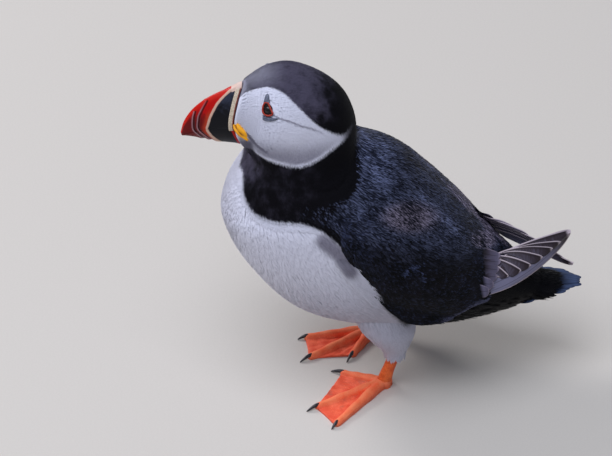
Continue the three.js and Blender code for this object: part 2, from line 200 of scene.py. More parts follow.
def srgb(red, green, blue):
    """A colour as seen on a screen, 0 to 255, made linear."""
    seen = np.array((red, green, blue)) / 255.0
    linear = np.where(seen > 0.04045, ((seen + 0.055) / 1.055) ** 2.4, seen / 12.92)
    return (*linear.tolist(), 1.0)


def new_object(name, points, faces, material, normals=None, uv=None, **attributes):
    """An object from points in bird millimetres and lists of faces (arrays of vertex numbers).

    normals are given per vertex, uv per vertex on the map OFBake, and attributes per vertex as
    numbers or vectors.
    """
    mesh = bpy.data.meshes.new(name)
    corners = np.concatenate([np.ravel(group) for group in faces]).astype(np.int32)
    sizes = np.concatenate([np.full(len(group), np.shape(group)[1]) for group in faces])
    mesh.vertices.add(len(points))
    mesh.vertices.foreach_set("co", in_frame(points).astype(np.float32).ravel())
    mesh.loops.add(len(corners))
    mesh.loops.foreach_set("vertex_index", corners)
    mesh.polygons.add(len(sizes))
    mesh.polygons.foreach_set("loop_start", np.concatenate([[0], np.cumsum(sizes)[:-1]]).astype(np.int32))
    mesh.update(calc_edges=True)
    mesh.polygons.foreach_set("use_smooth", np.ones(len(sizes), bool))
    for key, values in attributes.items():
        values = np.asarray(values, np.float32)
        kind = "FLOAT" if values.ndim == 1 else "FLOAT_VECTOR"
        field = "value" if values.ndim == 1 else "vector"
        mesh.attributes.new(key, kind, "POINT").data.foreach_set(field, values.ravel())
    if uv is not None:
        layer = mesh.uv_layers.new(name="OFBake")
        layer.data.foreach_set("uv", np.asarray(uv, np.float32)[corners].ravel())
    if normals is not None:
        mesh.normals_split_custom_set_from_vertices(normals.astype(np.float32))
    mesh.materials.append(material)
    made = bpy.data.objects.new(name, mesh)
    bpy.context.collection.objects.link(made)
    return made


FLOOR_SIDE = 30000.0
corner = np.array(((-1.0, -1.0, 0.0), (1.0, -1.0, 0.0), (1.0, 1.0, 0.0), (-1.0, 1.0, 0.0)))
floor_paper, shader, wire = finish("floor_paper", Roughness=0.85, Specular_IOR_Level=0.2)
grain = coordinates(wire).noise(900.0, 3.0)
feed(shader, Base_Color=grain.mix(srgb(201, 195, 187), srgb(208, 202, 194)))
floor = new_object("floor", corner * FLOOR_SIDE / 2, [[[0, 1, 2, 3]]], floor_paper)

# ---------------------------------------------------------------------------------------------
# Skin: one hide over head, neck, trunk, rump and thighs, as deep under the feather tips as the
# coat is thick. It bears the same black, white and grey as the coat that grows from it.
# ---------------------------------------------------------------------------------------------
# Sections of the feathered body, bill base to tail: top [y, z], foot [y, z], half its width, how far
# up it is widest (0 to 1) and how square it is (2 is an ellipse).
BODY = np.array((
    (-72.6, 170.6, -73.4, 137.6, 7.4, 0.45, 2.3),  # bill base
    (-66.0, 175.6, -67.6, 135.0, 12.4, 0.44, 2.2),  # lores
    (-56.5, 180.7, -64.4, 132.6, 19.2, 0.46, 2.2),  # brow
    (-43.3, 182.0, -63.0, 130.4, 23.5, 0.48, 2.2),  # crown
    (-28.2, 176.0, -64.4, 128.6, 25.2, 0.48, 2.2),  # hind crown
    (-16.8, 166.2, -67.5, 125.5, 25.8, 0.46, 2.2),  # nape
    (-11.0, 153.0, -70.5, 121.5, 27.6, 0.46, 2.15),  # hind neck
    (-9.4, 140.2, -74.5, 115.5, 32.5, 0.46, 2.1),  # collar
    (-1.5, 133.4, -78.0, 106.5, 38.0, 0.48, 2.1),  # mantle
    (14.0, 125.0, -78.8, 94.2, 44.0, 0.5, 2.1),  # shoulder
    (30.0, 110.5, -67.6, 70.8, 46.0, 0.52, 2.1),  # breast
    (46.0, 94.0, -43.0, 44.5, 44.0, 0.54, 2.1),  # belly
    (58.0, 79.5, -4.0, 34.0, 37.0, 0.55, 2.1),  # vent
    (68.0, 68.0, 35.0, 34.8, 28.0, 0.57, 2.1),  # rump
    (76.0, 60.0, 61.0, 38.8, 19.5, 0.6, 2.1),  # tail root
    (85.0, 54.0, 74.0, 42.5, 12.0, 0.6, 2.1),  # tail coverts
))
LAST_ROW = len(BODY) - 1
TURN = 2 * math.pi


def along(rows, t):
    """A smooth (Catmull-Rom) curve through rows of numbers, read at t from 0 to the last row."""
    rows = np.asarray(rows, float)
    t = np.asarray(t, float)
    led = np.vstack([2 * rows[0] - rows[1], rows, 2 * rows[-1] - rows[-2]])
    i = np.clip(np.floor(t).astype(int), 0, len(rows) - 2)
    f = (t - i)[..., None]
    a, b, c, d = led[i], led[i + 1], led[i + 2], led[i + 3]
    return b + 0.5 * f * (c - a + f * (2 * a - 5 * b + 4 * c - d + f * (3 * (b - c) + d - a)))


def section_point(rows, row, angle):
    """A point of a section: angle turns from its top over its left side and its foot.

    The section is a superellipse in two halves that meet where it is widest; one half reaches up to
    the top and the other down to the foot.
    """
    top_y, top_z, foot_y, foot_z, half, level, square = np.moveaxis(along(rows, row), -1, 0)
    wide_y = foot_y + (top_y - foot_y) * level
    wide_z = foot_z + (top_z - foot_z) * level
    upper = np.cos(angle) > 0
    reach = np.abs(np.cos(angle)) ** (2 / square)
    x = half * np.sign(np.sin(angle)) * np.abs(np.sin(angle)) ** (2 / square)
    y = wide_y + (np.where(upper, top_y, foot_y) - wide_y) * reach
    z = wide_z + (np.where(upper, top_z, foot_z) - wide_z) * reach
    return np.stack([x, y, z], -1)


def unit(vectors):
    """The vectors made one long."""
    return vectors / np.maximum(np.linalg.norm(vectors, axis=-1, keepdims=True), 1e-9)


# Edges of the markings in the plane that is seen from the bird's side and 35 degrees above:
# [y, v], where v = z cos 35 - |x| sin 35, so that both sides are alike.
FACE_PATCH = (
    (-69.2, 135.0), (-66.6, 137.0), (-61.4, 138.9), (-58.0, 139.6), (-54.8, 139.8), (-51.3, 138.7),
    (-46.7, 136.2), (-43.1, 132.8), (-39.0, 128.7), (-33.8, 123.6), (-28.7, 119.5), (-23.6, 116.9),
    (-18.5, 115.4), (-15.9, 116.2), (-13.8, 118.5), (-11.9, 121.5), (-12.7, 117.9), (-15.4, 113.8),
    (-18.5, 110.8), (-22.6, 107.6), (-28.0, 103.6), (-33.0, 100.8), (-39.4, 98.9), (-45.4, 99.5),
    (-54.6, 102.2), (-61.0, 105.6), (-63.4, 108.0), (-66.5, 108.6), (-70.5, 108.0), (-76.0, 109.0),
    (-82.0, 114.0), (-80.0, 128.0), (-73.0, 132.6),
)
COLLAR_EDGE = (
    (-62.8, 111.0), (-64.4, 108.2), (-67.0, 105.0), (-69.8, 100.6), (-68.4, 97.2), (-68.1, 92.1),
    (-67.7, 85.7), (-65.5, 79.7), (-62.2, 75.5), (-57.0, 72.5), (-50.3, 70.8), (-44.3, 70.4),
    (-37.9, 69.9), (-32.4, 68.3), (-25.6, 64.9), (-20.0, 60.0), (-12.3, 52.8), (-6.0, 48.0),
    (-0.5, 40.0), (3.0, 31.5), (9.0, 23.0), (26.0, 12.0), (60.0, 4.0), (80.0, 8.0), (150.0, 8.0),
    (150.0, 200.0), (-140.0, 200.0), (-140.0, 122.0), (-68.0, 118.0),
)
CHEEK_FOLD = ((-69.0, 117.6), (-65.3, 115.1), (-62.4, 111.6), (-59.9, 109.1), (-56.3, 106.6), (-49.5, 103.0),
              (-42.0, 101.2), (-36.0, 101.6), (-30.0, 104.6))
NECK_FOLD = ((-9.5, 124.0), (-10.6, 114.0), (-11.3, 103.0), (-13.5, 93.5), (-19.0, 87.5), (-28.0, 84.5))
NECK_FOLD_DEPTH = 1.1
BACK_SHEEN = (
    (-10.6, 128.0), (-11.4, 114.0), (-12.0, 103.0), (-14.5, 93.0), (-20.0, 87.0), (-28.0, 83.5), (-36.0, 82.0),
    (-44.0, 79.0), (-40.0, 74.0), (-26.0, 68.0), (-10.0, 54.0), (10.0, 34.0), (150.0, 34.0), (150.0, 220.0),
    (-9.0, 220.0),
)
SCAPULAR_RIDGE = ((22.0, 84.0), (30.0, 77.0), (37.0, 71.0), (44.0, 64.5))
EYE_FURROW = ((-53.4, 125.8), (-49.0, 123.5), (-43.1, 121.7), (-38.5, 119.9), (-33.9, 118.7), (-29.3, 117.1),
              (-25.6, 115.1), (-20.0, 112.6))


def seen(points):
    """The places as seen from the side and above: y, and v = z cos 35 - |x| sin 35."""
    x, y, z = np.moveaxis(points, -1, 0)
    return y, z * math.cos(LOOK_DOWN) - np.abs(x) * math.sin(LOOK_DOWN)


def curve(points, closed, fineness=4):
    """A smooth curve through points, as many finer points."""
    points = np.asarray(points, float)
    if closed:
        points = np.vstack([points, points[:1]])
    return along(points, np.linspace(0, len(points) - 1, (len(points) - 1) * fineness + 1))


def from_line(points, y, v, closed=False):
    """How far (y, v) lies from a smooth line through points; inside a closed one it is above 0."""
    line = curve(points, closed)
    nearest = np.full(np.shape(y), 1e9)
    odd = np.zeros(np.shape(y), bool)
    for (ay, av), (by, bv) in zip(line[:-1], line[1:]):
        ry, rv = by - ay, bv - av
        f = np.clip(((y - ay) * ry + (v - av) * rv) / max(ry * ry + rv * rv, 1e-12), 0, 1)
        nearest = np.minimum(nearest, (y - ay - f * ry) ** 2 + (v - av - f * rv) ** 2)
        crosses = (av > v) != (bv > v)
        odd ^= crosses & (y < ay + ry * (v - av) / (rv if abs(rv) > 1e-12 else 1e-12))
    distance = np.sqrt(nearest)
    return np.where(odd, distance, -distance) if closed else distance


def step(value, low, high):
    """0 below low, 1 above high and a smooth step between."""
    f = np.clip((value - low) / (high - low), 0, 1)
    return f * f * (3 - 2 * f)


def markings(points):
    """The dress at these places: pale is 1 on white, and lightens the head's front as a painted highlight; grey is
    how much the white is greyed, mostly by painted shade; slate is 1 on the crown's slate and 0 on black; brown is
    the warmth of the dark parts; back is how much painted sheen the black back bears."""
    y, v = seen(points)
    x = np.abs(points[..., 0])
    z = points[..., 2]
    in_face = from_line(FACE_PATCH, y, v, True)
    throat = step(x, 0.5, 3.0)
    face = step(in_face, -0.25, 0.35) * throat * (1 - 0.85 * step(y, -18.5, -13.0))
    in_dark = from_line(COLLAR_EDGE, y, v, True)
    white = step(-in_dark, -0.3, 0.5) * step(y, -90.0, -88.0)
    white = np.maximum(white, step(z, 46.0, 41.0) * step(y, 26.0, 22.0)) * step(z, 140.0, 132.0)
    # Painted shade on the white face: the lower cheek, the furrow behind the eye, the cheek fold and the chin under the
    # rosette. The face also greys towards its rear end.
    fold = from_line(CHEEK_FOLD, y, v)
    cheek = step(in_face, 0.3, 1.9) * step(in_face, 26.0, 3.0) * step(v, 120.0, 103.0) * 0.72
    furrow = from_line(EYE_FURROW, y, v)
    grey_face = np.maximum(cheek, 0.75 * step(furrow, 0.9, 0.2) * step(y, -18.0, -34.0))
    grey_face = np.maximum(grey_face, 0.95 * step(fold, 1.2, 0.3) * step(y, -50.0, -57.0))
    grey_face = np.maximum(grey_face, 0.25 * step(y, -30.0, -18.0) + 0.4 * step(y, -19.0, -14.0))
    grey_face = np.maximum(grey_face, 0.95 * step(v, 117.0, 110.0) * step(y, -60.5, -64.5))
    # The grey patch by the wing's front edge is the flank feathers' grey-brown together with painted shade where the
    # wing tucks under them. The belly's greying downwards and the bib's grey front are painted shade.
    flank = step(from_line(((-27.0, 61.0), (-19.0, 54.5), (-13.0, 47.5)), y, v), 6.5, 1.5)
    belly = 0.5 * step(v, 60.0, 18.0)
    grey_body = np.maximum(0.85 * flank, belly)
    grey_body = np.maximum(grey_body, 0.4 * step(y, -64.0, -78.0))
    slate = step(v, 108.0, 132.0) * step(y, -14.0, -38.0)
    slate = np.maximum(slate, 0.85 * step(from_line(((-67.0, 108.0), (-67.5, 100.0)), y, v), 15.0, 1.0))
    slate = np.maximum(slate, 0.2 * step(y, -18.0, -40.0))
    # back is painted sheen: blue highlights on the black back, brightest behind the neck, on the shoulder and along the
    # scapulars' ridge.
    back = step(from_line(BACK_SHEEN, y, v, True), -0.6, 2.5)
    bright = np.exp(-((y + 3.0) / 11.0) ** 2 - ((v - 110.0) / 17.0) ** 2)
    shoulder = np.exp(-((y + 18.0) / 11.0) ** 2 - ((v - 75.0) / 9.0) ** 2)
    ridge = step(from_line(SCAPULAR_RIDGE, y, v), 4.5, 1.0)
    sheen = 0.22 + 0.12 * step(y, -24.0, -4.0) + 0.8 * bright + 0.16 * shoulder + 0.3 * ridge
    back = back * sheen * step(v, 42.0, 68.0)
    brown = 1.0 * step(((y - 17.0) / 16.0) ** 2 + ((v - 73.5) / 9.0) ** 2, 1.4, 0.2)
    # Worn brown feathers near the wing's rear and a brown patch on the far side; both also take the back's painted
    # sheen.
    worn = step(((y - 55.5) / 7.5) ** 2 + ((v - 62.5) / 5.5) ** 2, 1.4, 0.4)
    worn = np.maximum(worn, step(points[..., 0], -2.0, -6.0) * step(y, 33.0, 43.0) * step(z, 62.0, 70.0))
    brown = np.maximum(brown, worn)
    back = np.maximum(back, 0.85 * worn)
    # A painted highlight that lightens the slate towards the front of the head.
    painted_front_highlight = 0.3 * step(y, -61.0, -70.0) * step(v, 120.0, 126.0)
    painted_front_highlight = np.maximum(painted_front_highlight, 0.3 * step(y, -44.0, -66.0) * step(v, 135.0, 149.0))
    pale = np.maximum(np.maximum(face, white), painted_front_highlight)
    grey = np.where(face > white, grey_face, grey_body)
    return {"pale": pale, "grey": grey, "slate": slate, "brown": np.clip(brown, 0, 1), "back": back}


class Surface:
    """A surface read off a fine table of its formula: its places, outward normals, stretch and dress.

    u runs towards the tail and w from the back down the left side. A closed surface meets itself
    where w has gone once round.
    """

    def __init__(self, shape, u_end, w_end, u_steps, w_steps, closed):
        self.ends = (u_end, w_end)
        self.closed = closed
        u = np.linspace(0, u_end, u_steps)
        w = np.linspace(0, w_end, w_steps)
        self.u, self.w = np.meshgrid(u, w, indexing="ij")
        self.points = shape(self.u, self.w)
        self.u_way = np.gradient(self.points, u, axis=0)
        if closed:
            wrapped = np.concatenate([self.points[:, -3:-1], self.points, self.points[:, 1:3]], 1)
            self.w_way = np.gradient(wrapped, w[1], axis=1)[:, 2:-2]
        else:
            self.w_way = np.gradient(self.points, w, axis=1)
        across = np.cross(self.w_way, self.u_way)
        self.area = np.linalg.norm(across, axis=-1)
        self.normals = unit(across)
        self.dress = markings(self.points)

    def read(self, table, u, w):
        """The table's values between its rows and columns."""
        rows, columns = self.u.shape
        w = np.mod(w, self.ends[1]) if self.closed else np.clip(w, 0, self.ends[1])
        a = np.clip(u / self.ends[0], 0, 1) * (rows - 1)
        b = w / self.ends[1] * (columns - 1)
        i = np.clip(a.astype(int), 0, rows - 2)
        j = np.clip(b.astype(int), 0, columns - 2)
        f, g = a - i, b - j
        if table.ndim == 3:
            f, g = f[..., None], g[..., None]
        near = table[i, j] * (1 - g) + table[i, j + 1] * g
        far = table[i + 1, j] * (1 - g) + table[i + 1, j + 1] * g
        return near * (1 - f) + far * f

    def scatter(self, amount, seed, density):
        """Evenly strewn places (u, w), as dense on the surface as the table density says."""
        weight = self.area * density
        by_row = weight.sum(1)
        rows_sum = np.cumsum(by_row) / by_row.sum()
        inside = np.cumsum(weight, 1) / np.maximum(weight.sum(1, keepdims=True), 1e-12)
        n = np.arange(amount) + seed
        first = np.mod(0.5 + n * 0.7548776662466927, 1.0)
        second = np.mod(0.5 + n * 0.5698402909980532, 1.0)
        i = np.minimum(np.searchsorted(rows_sum, first), len(by_row) - 1)
        flat = (inside + np.arange(len(by_row))[:, None]).ravel()
        j = np.minimum(np.searchsorted(flat, second + i), flat.size - 1) - i * weight.shape[1]
        j = np.clip(j, 0, weight.shape[1] - 1)
        jitter = np.random.default_rng(seed).random((2, amount)) - 0.5
        u = self.u[i, 0] + jitter[0] * self.ends[0] / (len(by_row) - 1)
        w = self.w[0, j] + jitter[1] * self.ends[1] / (weight.shape[1] - 1)
        return np.clip(u, 0, self.ends[0]), w


def feathered_body(row, angle):
    """The body's sections, plumped on both shoulders by the long feathers that lie there, and
    folded in where the neck sinks between them."""
    swell = 2.7 * step(row, 8.4, 9.8) * step(row, 12.6, 11.0) * step(np.abs(np.sin(angle)), 0.15, 0.6)
    swell = swell * step(np.cos(angle), -0.1, 0.45)
    points = section_point(BODY, row, angle)
    y, v = seen(points)
    swell = swell - NECK_FOLD_DEPTH * np.exp(-(from_line(NECK_FOLD, y, v) / 1.7) ** 2) * step(row, 4.5, 6.0)
    middle = section_point(BODY, row, 0.0 * angle + math.pi)
    return points + unit((points - middle) * (1, 0, 1)) * swell[..., None]


body = Surface(feathered_body, LAST_ROW, TURN, 601, 361, True)

def coat_depth(row):
    """How far the skin lies under the tips of the feathers, by the row of the body."""
    return np.interp(row, (0, 1, 5, 7, 9, 12, 14, 15), (0.5, 0.8, 1.1, 1.6, 2.4, 2.3, 1.6, 1.0))


def shell(rings):
    """A closed hull over rings of points (rows, columns, 3) with a pole at each end.

    Gives its points and faces, the faces turned outwards whichever way the rings run.
    """
    rows, columns, _ = rings.shape
    points = np.vstack([rings.reshape(-1, 3), rings[0].mean(0), rings[-1].mean(0)])
    index = np.arange(rows * columns).reshape(rows, columns)
    after = np.roll(index, -1, 1)
    quads = np.stack([index[:-1], after[:-1], after[1:], index[1:]], -1).reshape(-1, 4)
    pole = rows * columns
    first = np.stack([after[0], index[0], np.full(columns, pole)], -1)
    last = np.stack([index[-1], after[-1], np.full(columns, pole + 1)], -1)
    a, b, c, d = (points[quads[:, k]] for k in range(4))
    turned = (np.cross(c - a, d - b) * (a + b + c + d - 4 * points.mean(0))).sum()
    if turned < 0:
        quads, first, last = quads[:, ::-1], first[:, ::-1], last[:, ::-1]
    return points, [quads, np.vstack([first, last])]


# Thighs: centre [x, y, z] of the left one, half its width across and fore-and-aft, hip to knee.
THIGH = np.array((
    (23.0, 2.0, 50.0, 11.0, 15.0), (24.0, 6.0, 38.0, 10.5, 14.0),
    (24.4, 8.4, 30.0, 7.8, 9.6), (24.6, 9.6, 23.4, 4.4, 5.6),
))
HEEL = {"left": np.array((22.4, 3.6, 0.0)), "right": np.array((-24.6, -1.6, 0.0))}


def leg_point(rows, side, t, angle):
    """A point of a leg: an ellipse at each level, its front at angle 0 and its outside at 90 degrees.

    The right leg is the left one mirrored and set back on to its own foot.
    """
    x, y, z, wide, long = np.moveaxis(along(rows, t), -1, 0)
    points = np.stack([x + wide * np.sin(angle), y - long * np.cos(angle), z], -1)
    if side == "right":
        points = points * (-1, 1, 1) + HEEL["right"] - HEEL["left"] * (-1, 1, 1)
    return points


# Where the face meets the bill, over the forehead to under the chin, [y, z].
BILL_EDGE = ((-58.0, 198.0), (-65.0, 181.0), (-68.6, 172.0), (-71.2, 163.0), (-72.8, 153.0), (-71.6, 145.0),
             (-68.2, 135.4), (-76.0, 128.0), (-100.0, 104.0))
edge_line = curve(BILL_EDGE, False)
SKIN_ROWS, SKIN_COLUMNS = 310, 250
row, angle = np.meshgrid(
    np.linspace(0, LAST_ROW, SKIN_ROWS), np.linspace(0, TURN, SKIN_COLUMNS, endpoint=False), indexing="ij"
)
inset = coat_depth(row)[..., None] * body.read(body.normals, row, angle)
hide = feathered_body(row, angle) - inset
hide[..., 1] = np.maximum(hide[..., 1], np.interp(hide[..., 2], edge_line[::-1, 1], edge_line[::-1, 0]) + 0.4)
skin_points, skin_faces = shell(hide)
skin_uv = np.vstack([
    np.stack([0.02 + 0.8 * row / LAST_ROW, angle / TURN], -1).reshape(-1, 2), [(0.01, 0.5), (0.83, 0.5)],
])
t, turn = np.meshgrid(np.linspace(0, 3, 40), np.linspace(0, TURN, 36, endpoint=False), indexing="ij")
for number, side in enumerate(("left", "right")):
    slim = THIGH - (0, 0, 0, 1.8, 1.8)
    points, faces = shell(leg_point(slim, side, t, turn))
    skin_faces = [np.vstack([skin_faces[k], faces[k] + len(skin_points)]) for k in range(2)]
    skin_points = np.vstack([skin_points, points])
    patch = np.stack([0.86 + 0.1 * t / 3, (number + turn / TURN) / 2], -1).reshape(-1, 2)
    skin_uv = np.vstack([skin_uv, patch, [(0.85, 0.5), (0.97, 0.5)]])
dress = markings(skin_points)

BLACK, SLATE, WARM_BLACK = srgb(11, 10, 15), srgb(80, 76, 94), srgb(26, 21, 24)
WHITE, SHADE_GREY = srgb(226, 227, 244), srgb(124, 121, 138)


def plumage(wire, streaks):
    """The bird's dress from its attributes: white shaded to grey, slate, black and warm black.

    streaks, from 0 to 1, lightens and darkens it a little.
    """
    grey = attribute(wire, "grey") + (streaks - 0.5) * 0.3
    white = grey.rise(0.0, 1.0).mix(WHITE, SHADE_GREY)
    down = coordinates(wire).noise(170.0, 4.0)
    slate = (attribute(wire, "slate") + (streaks - 0.5) * 0.7 + (down - 0.5) * 2.2).rise(-0.1, 1.2)
    slate = slate * attribute(wire, "slate").rise(0.0, 0.5)
    warm = attribute(wire, "brown").mix(BLACK, WARM_BLACK)
    return attribute(wire, "pale").mix(slate.mix(warm, SLATE), white)


skin_hide, shader, wire = finish("skin_hide", Roughness=0.8, Specular_IOR_Level=0.06)
feed(shader, Base_Color=plumage(wire, coordinates(wire).noise(900.0)))
skin = new_object("skin", skin_points, skin_faces, skin_hide, uv=skin_uv, **dress)
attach(skin, "root")
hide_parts("head", "neck", "trunk", "rump", "thigh_left", "thigh_right")

# ---------------------------------------------------------------------------------------------
# Head feathers: very short, dense and velvety, white on the cheeks and slate on the crown. Each is
# a thin closed blade rooted in the skin, and its tip lies over the roots of those behind it.
# ---------------------------------------------------------------------------------------------
BAKE_PATCH = 0.003  # a feather's patch on the map OFBake, at its root's place on the hide


def blades(surface, u, w, length, width, turn, root, tip, stations, arch, gloss, uv_place):
    """Feathers that lie on a surface, as joined points, faces, normals, map places and numbers.

    A spine starts at each place (u, w), runs along the surface at the angle turn from the way to
    the tail, and rises from root to tip over the surface. Rings of three points (left edge, spine,
    right edge) stand at the stations, pairs of how far along they are and how wide, and a single
    point ends it. gloss from 0 to 1 tilts the normals from the body's to the feather's own.
    """
    count = len(u)
    far = np.array([s for s, _ in stations] + [1.0])
    wide = np.array([s for _, s in stations])
    stretch_u = np.linalg.norm(surface.read(surface.u_way, u, w), axis=-1)
    stretch_w = np.linalg.norm(surface.read(surface.w_way, u, w), axis=-1)
    run = length[:, None] * far
    us = u[:, None] + run * (np.cos(turn) / np.maximum(stretch_u, 1.0))[:, None]
    ws = w[:, None] + run * (np.sin(turn) / np.maximum(stretch_w, 1.0))[:, None]
    normal = unit(surface.read(surface.normals, us, ws))
    rise = root[:, None] + (tip - root)[:, None] * far ** 0.8
    spine = surface.read(surface.points, us, ws) + normal * rise[..., None]
    heading = unit(np.gradient(spine, axis=1))
    side = unit(np.cross(normal, heading))
    half = (width[:, None] / 2 * wide)[..., None]
    rings, up, out, ahead = spine[:, :-1], normal[:, :-1], side[:, :-1], heading[:, :-1]
    left = rings + out * half - up * half * arch
    right = rings - out * half - up * half * arch
    points = np.concatenate([np.stack([left, rings, right], 2).reshape(count, -1, 3), spine[:, -1:]], 1)
    tilt = np.array((0.9, 0.0, -0.9)) * gloss
    own = up[:, :, None] + out[:, :, None] * tilt[:, None] + ahead[:, :, None] * 0.15 * gloss
    end = normal[:, -1:] + heading[:, -1:] * 0.3 * gloss
    normals = unit(np.concatenate([own.reshape(count, -1, 3), end], 1))
    ring_count = len(wide)
    across = np.concatenate([np.tile((1.0, 0.0, -1.0), ring_count), [0.0]])
    down = np.concatenate([np.repeat(far[:-1], 3), [1.0]])
    per = 3 * ring_count + 1
    lot = np.random.default_rng(count).random(count)
    dress = {}
    for key, table in surface.dress.items():
        worn = surface.read(table, us, ws)
        dress[key] = np.concatenate([np.repeat(worn[:, :-1], 3, 1), worn[:, -1:]], 1).ravel()
    vane = np.stack([
        across * width[:, None] / 2, down * length[:, None], np.repeat(lot[:, None], per, 1) * 40.0,
    ], -1)
    uv = uv_place(u, w)[:, None] + np.stack([down - 0.5, across / 2], -1) * BAKE_PATCH
    base = 3 * np.arange(ring_count - 1)[:, None]
    quads = np.concatenate([base + q for q in ((0, 1, 4, 3), (1, 2, 5, 4), (2, 0, 3, 5))])
    last = 3 * (ring_count - 1)
    ends = np.array(((last, last + 1, per - 1), (last + 1, last + 2, per - 1), (last + 2, last, per - 1), (2, 1, 0)))
    shift = (np.arange(count) * per)[:, None, None]
    faces = [(group[None] + shift).reshape(-1, group.shape[1]) for group in (quads, ends)]
    middle = points.reshape(count, per, 3)[:, 3 * (ring_count // 2) + 1]
    return {
        "points": points.reshape(-1, 3), "faces": faces, "normals": normals.reshape(-1, 3),
        "uv": uv.reshape(-1, 2), "vane": vane.reshape(-1, 3), "lot": np.repeat(lot, per),
        "tip": np.tile(down, count), "middle": middle, "per": per, "along": u, "across": w, "dress": dress,
    }


def body_place(u, w):
    """A feather's place on the unwrapped body: rows across the map, angle up it."""
    return np.stack([0.02 + 0.94 * u / LAST_ROW, 0.02 + 0.96 * np.mod(w, TURN) / TURN], -1)


def grow(name, sown, material, marks=None):
    """One object from blades, in the dress of the places they lie on or with one mark for each."""
    spread = sown["dress"]
    if marks is not None:
        spread = {key: np.repeat(value, sown["per"]) for key, value in marks.items()}
    made = new_object(
        name, sown["points"], sown["faces"], material, normals=sown["normals"], uv=sown["uv"],
        vane=sown["vane"], lot=sown["lot"], tip=sown["tip"], **spread,
    )
    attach(made, "root")
    return made


def lots(seed, count, low, high):
    """Random sizes between low and high, the same on each run."""
    return np.random.default_rng(seed).uniform(low, high, count)


def sow(surface, amount, seed, density, length, width, lie, depth, stand, stations, arch, gloss, place):
    """Blades strewn over a surface: lengths, widths and lie vary a little about what is given."""
    u, w = surface.scatter(amount, seed, density)
    length = length(u, w) * lots(seed + 1, amount, 0.8, 1.2)
    width = width(u, w) * lots(seed + 2, amount, 0.8, 1.2)
    turn = lie(u, w) + lots(seed + 3, amount, -0.16, 0.16)
    root = -depth(u, w)
    tip = stand(u, w) * lots(seed + 4, amount, 0.2, 1.0)
    return blades(surface, u, w, length, width, turn, root, tip, stations, arch, gloss, place)


CORE_ROWS = body.u
CORE_ANGLE = body.w
CORE = body.dress
EYE_OPENING = np.array((-55.3, 128.6))
seen_y, seen_v = seen(body.points)
ahead_of_bill = np.interp(body.points[..., 2], edge_line[::-1, 1], edge_line[::-1, 0])
behind_bill = body.points[..., 1] > ahead_of_bill + 0.5
off_eye = ((seen_y - EYE_OPENING[0]) / 3.6) ** 2 + ((seen_v - EYE_OPENING[1]) / 4.6) ** 2 > 1.0
on_head = (CORE_ROWS < 6.6) & behind_bill & off_eye

FACE_STATIONS = ((0.0, 0.6), (0.55, 1.0))
head_down = sow(
    body, 19000, 11, on_head * (0.35 + 0.65 * (np.abs(seen_v - 118.0) < 40.0)),
    lambda u, w: np.interp(u, (0, 1.5, 4, 7), (1.5, 2.0, 2.8, 3.6)),
    lambda u, w: np.interp(u, (0, 1.5, 4, 7), (0.7, 0.9, 1.1, 1.3)),
    lambda u, w: 0.0 * u,
    lambda u, w: 0.7 * coat_depth(u), lambda u, w: 0.12 + 0.0 * u, FACE_STATIONS, 0.12, 0.25, body_place,
)
head_plumes, shader, wire = finish("head_plumes", Roughness=0.75, Specular_IOR_Level=0.06, Sheen_Weight=0.03)
barbs = attribute(wire, "vane", 1).noise(1.0, 1.0, (3.0, 0.4, 1.0))
feed(shader, Base_Color=plumage(wire, barbs))
head_coat = grow("head_coat", head_down, head_plumes)

# ---------------------------------------------------------------------------------------------
# Collar, breast and belly: dense, silky contour feathers that run down and back over each other.
# The dark collar's last feathers stand over the white of the breast.
# ---------------------------------------------------------------------------------------------
neck_and_back = (CORE_ROWS > 5.8) & (CORE["pale"] < 0.5) & (CORE_ANGLE < TURN)
SILK_STATIONS = ((0.0, 0.5), (0.35, 0.95), (0.72, 0.9))
collar_zone = neck_and_back & (CORE_ROWS < 9.9) & (CORE_ROWS > 6.0) & (CORE["back"] < 0.3)
collar_down = sow(
    body, 15000, 23, collar_zone * 1.0,
    lambda u, w: np.interp(u, (6, 9), (3.4, 5.5)), lambda u, w: np.interp(u, (6, 9), (1.2, 1.7)),
    lambda u, w: 0.0 * u, lambda u, w: 0.6 * coat_depth(u), lambda u, w: 0.25 + 0.0 * u,
    FACE_STATIONS, 0.15, 0.4, body_place,
)
collar_coat = grow("collar_coat", collar_down, head_plumes)

white_zone = (CORE["pale"] > 0.5) & (CORE_ROWS > 6.4) & (seen_v < 118.0)
silk_plumes, shader, wire = finish("silk_plumes", Roughness=0.7, Specular_IOR_Level=0.12, Sheen_Weight=0.1)
barbs = attribute(wire, "vane", 1).noise(1.0, 2.0, (2.4, 0.16, 1.0))
feed(shader, Base_Color=plumage(wire, barbs))
for side, half in (("left", CORE_ANGLE <= math.pi), ("right", CORE_ANGLE > math.pi)):
    breast_down = sow(
        body, 11500, 31 if side == "left" else 37, (white_zone & half) * 1.0,
        lambda u, w: np.interp(u, (6.5, 8, 11), (5.0, 8.0, 10.0)), lambda u, w: 1.5 + 0.0 * u,
        lambda u, w: 0.0 * u, lambda u, w: 0.5 * coat_depth(u), lambda u, w: 0.3 + 0.0 * u,
        SILK_STATIONS, 0.15, 0.35, body_place,
    )
    grow(f"breast_coat_{side}", breast_down, silk_plumes)

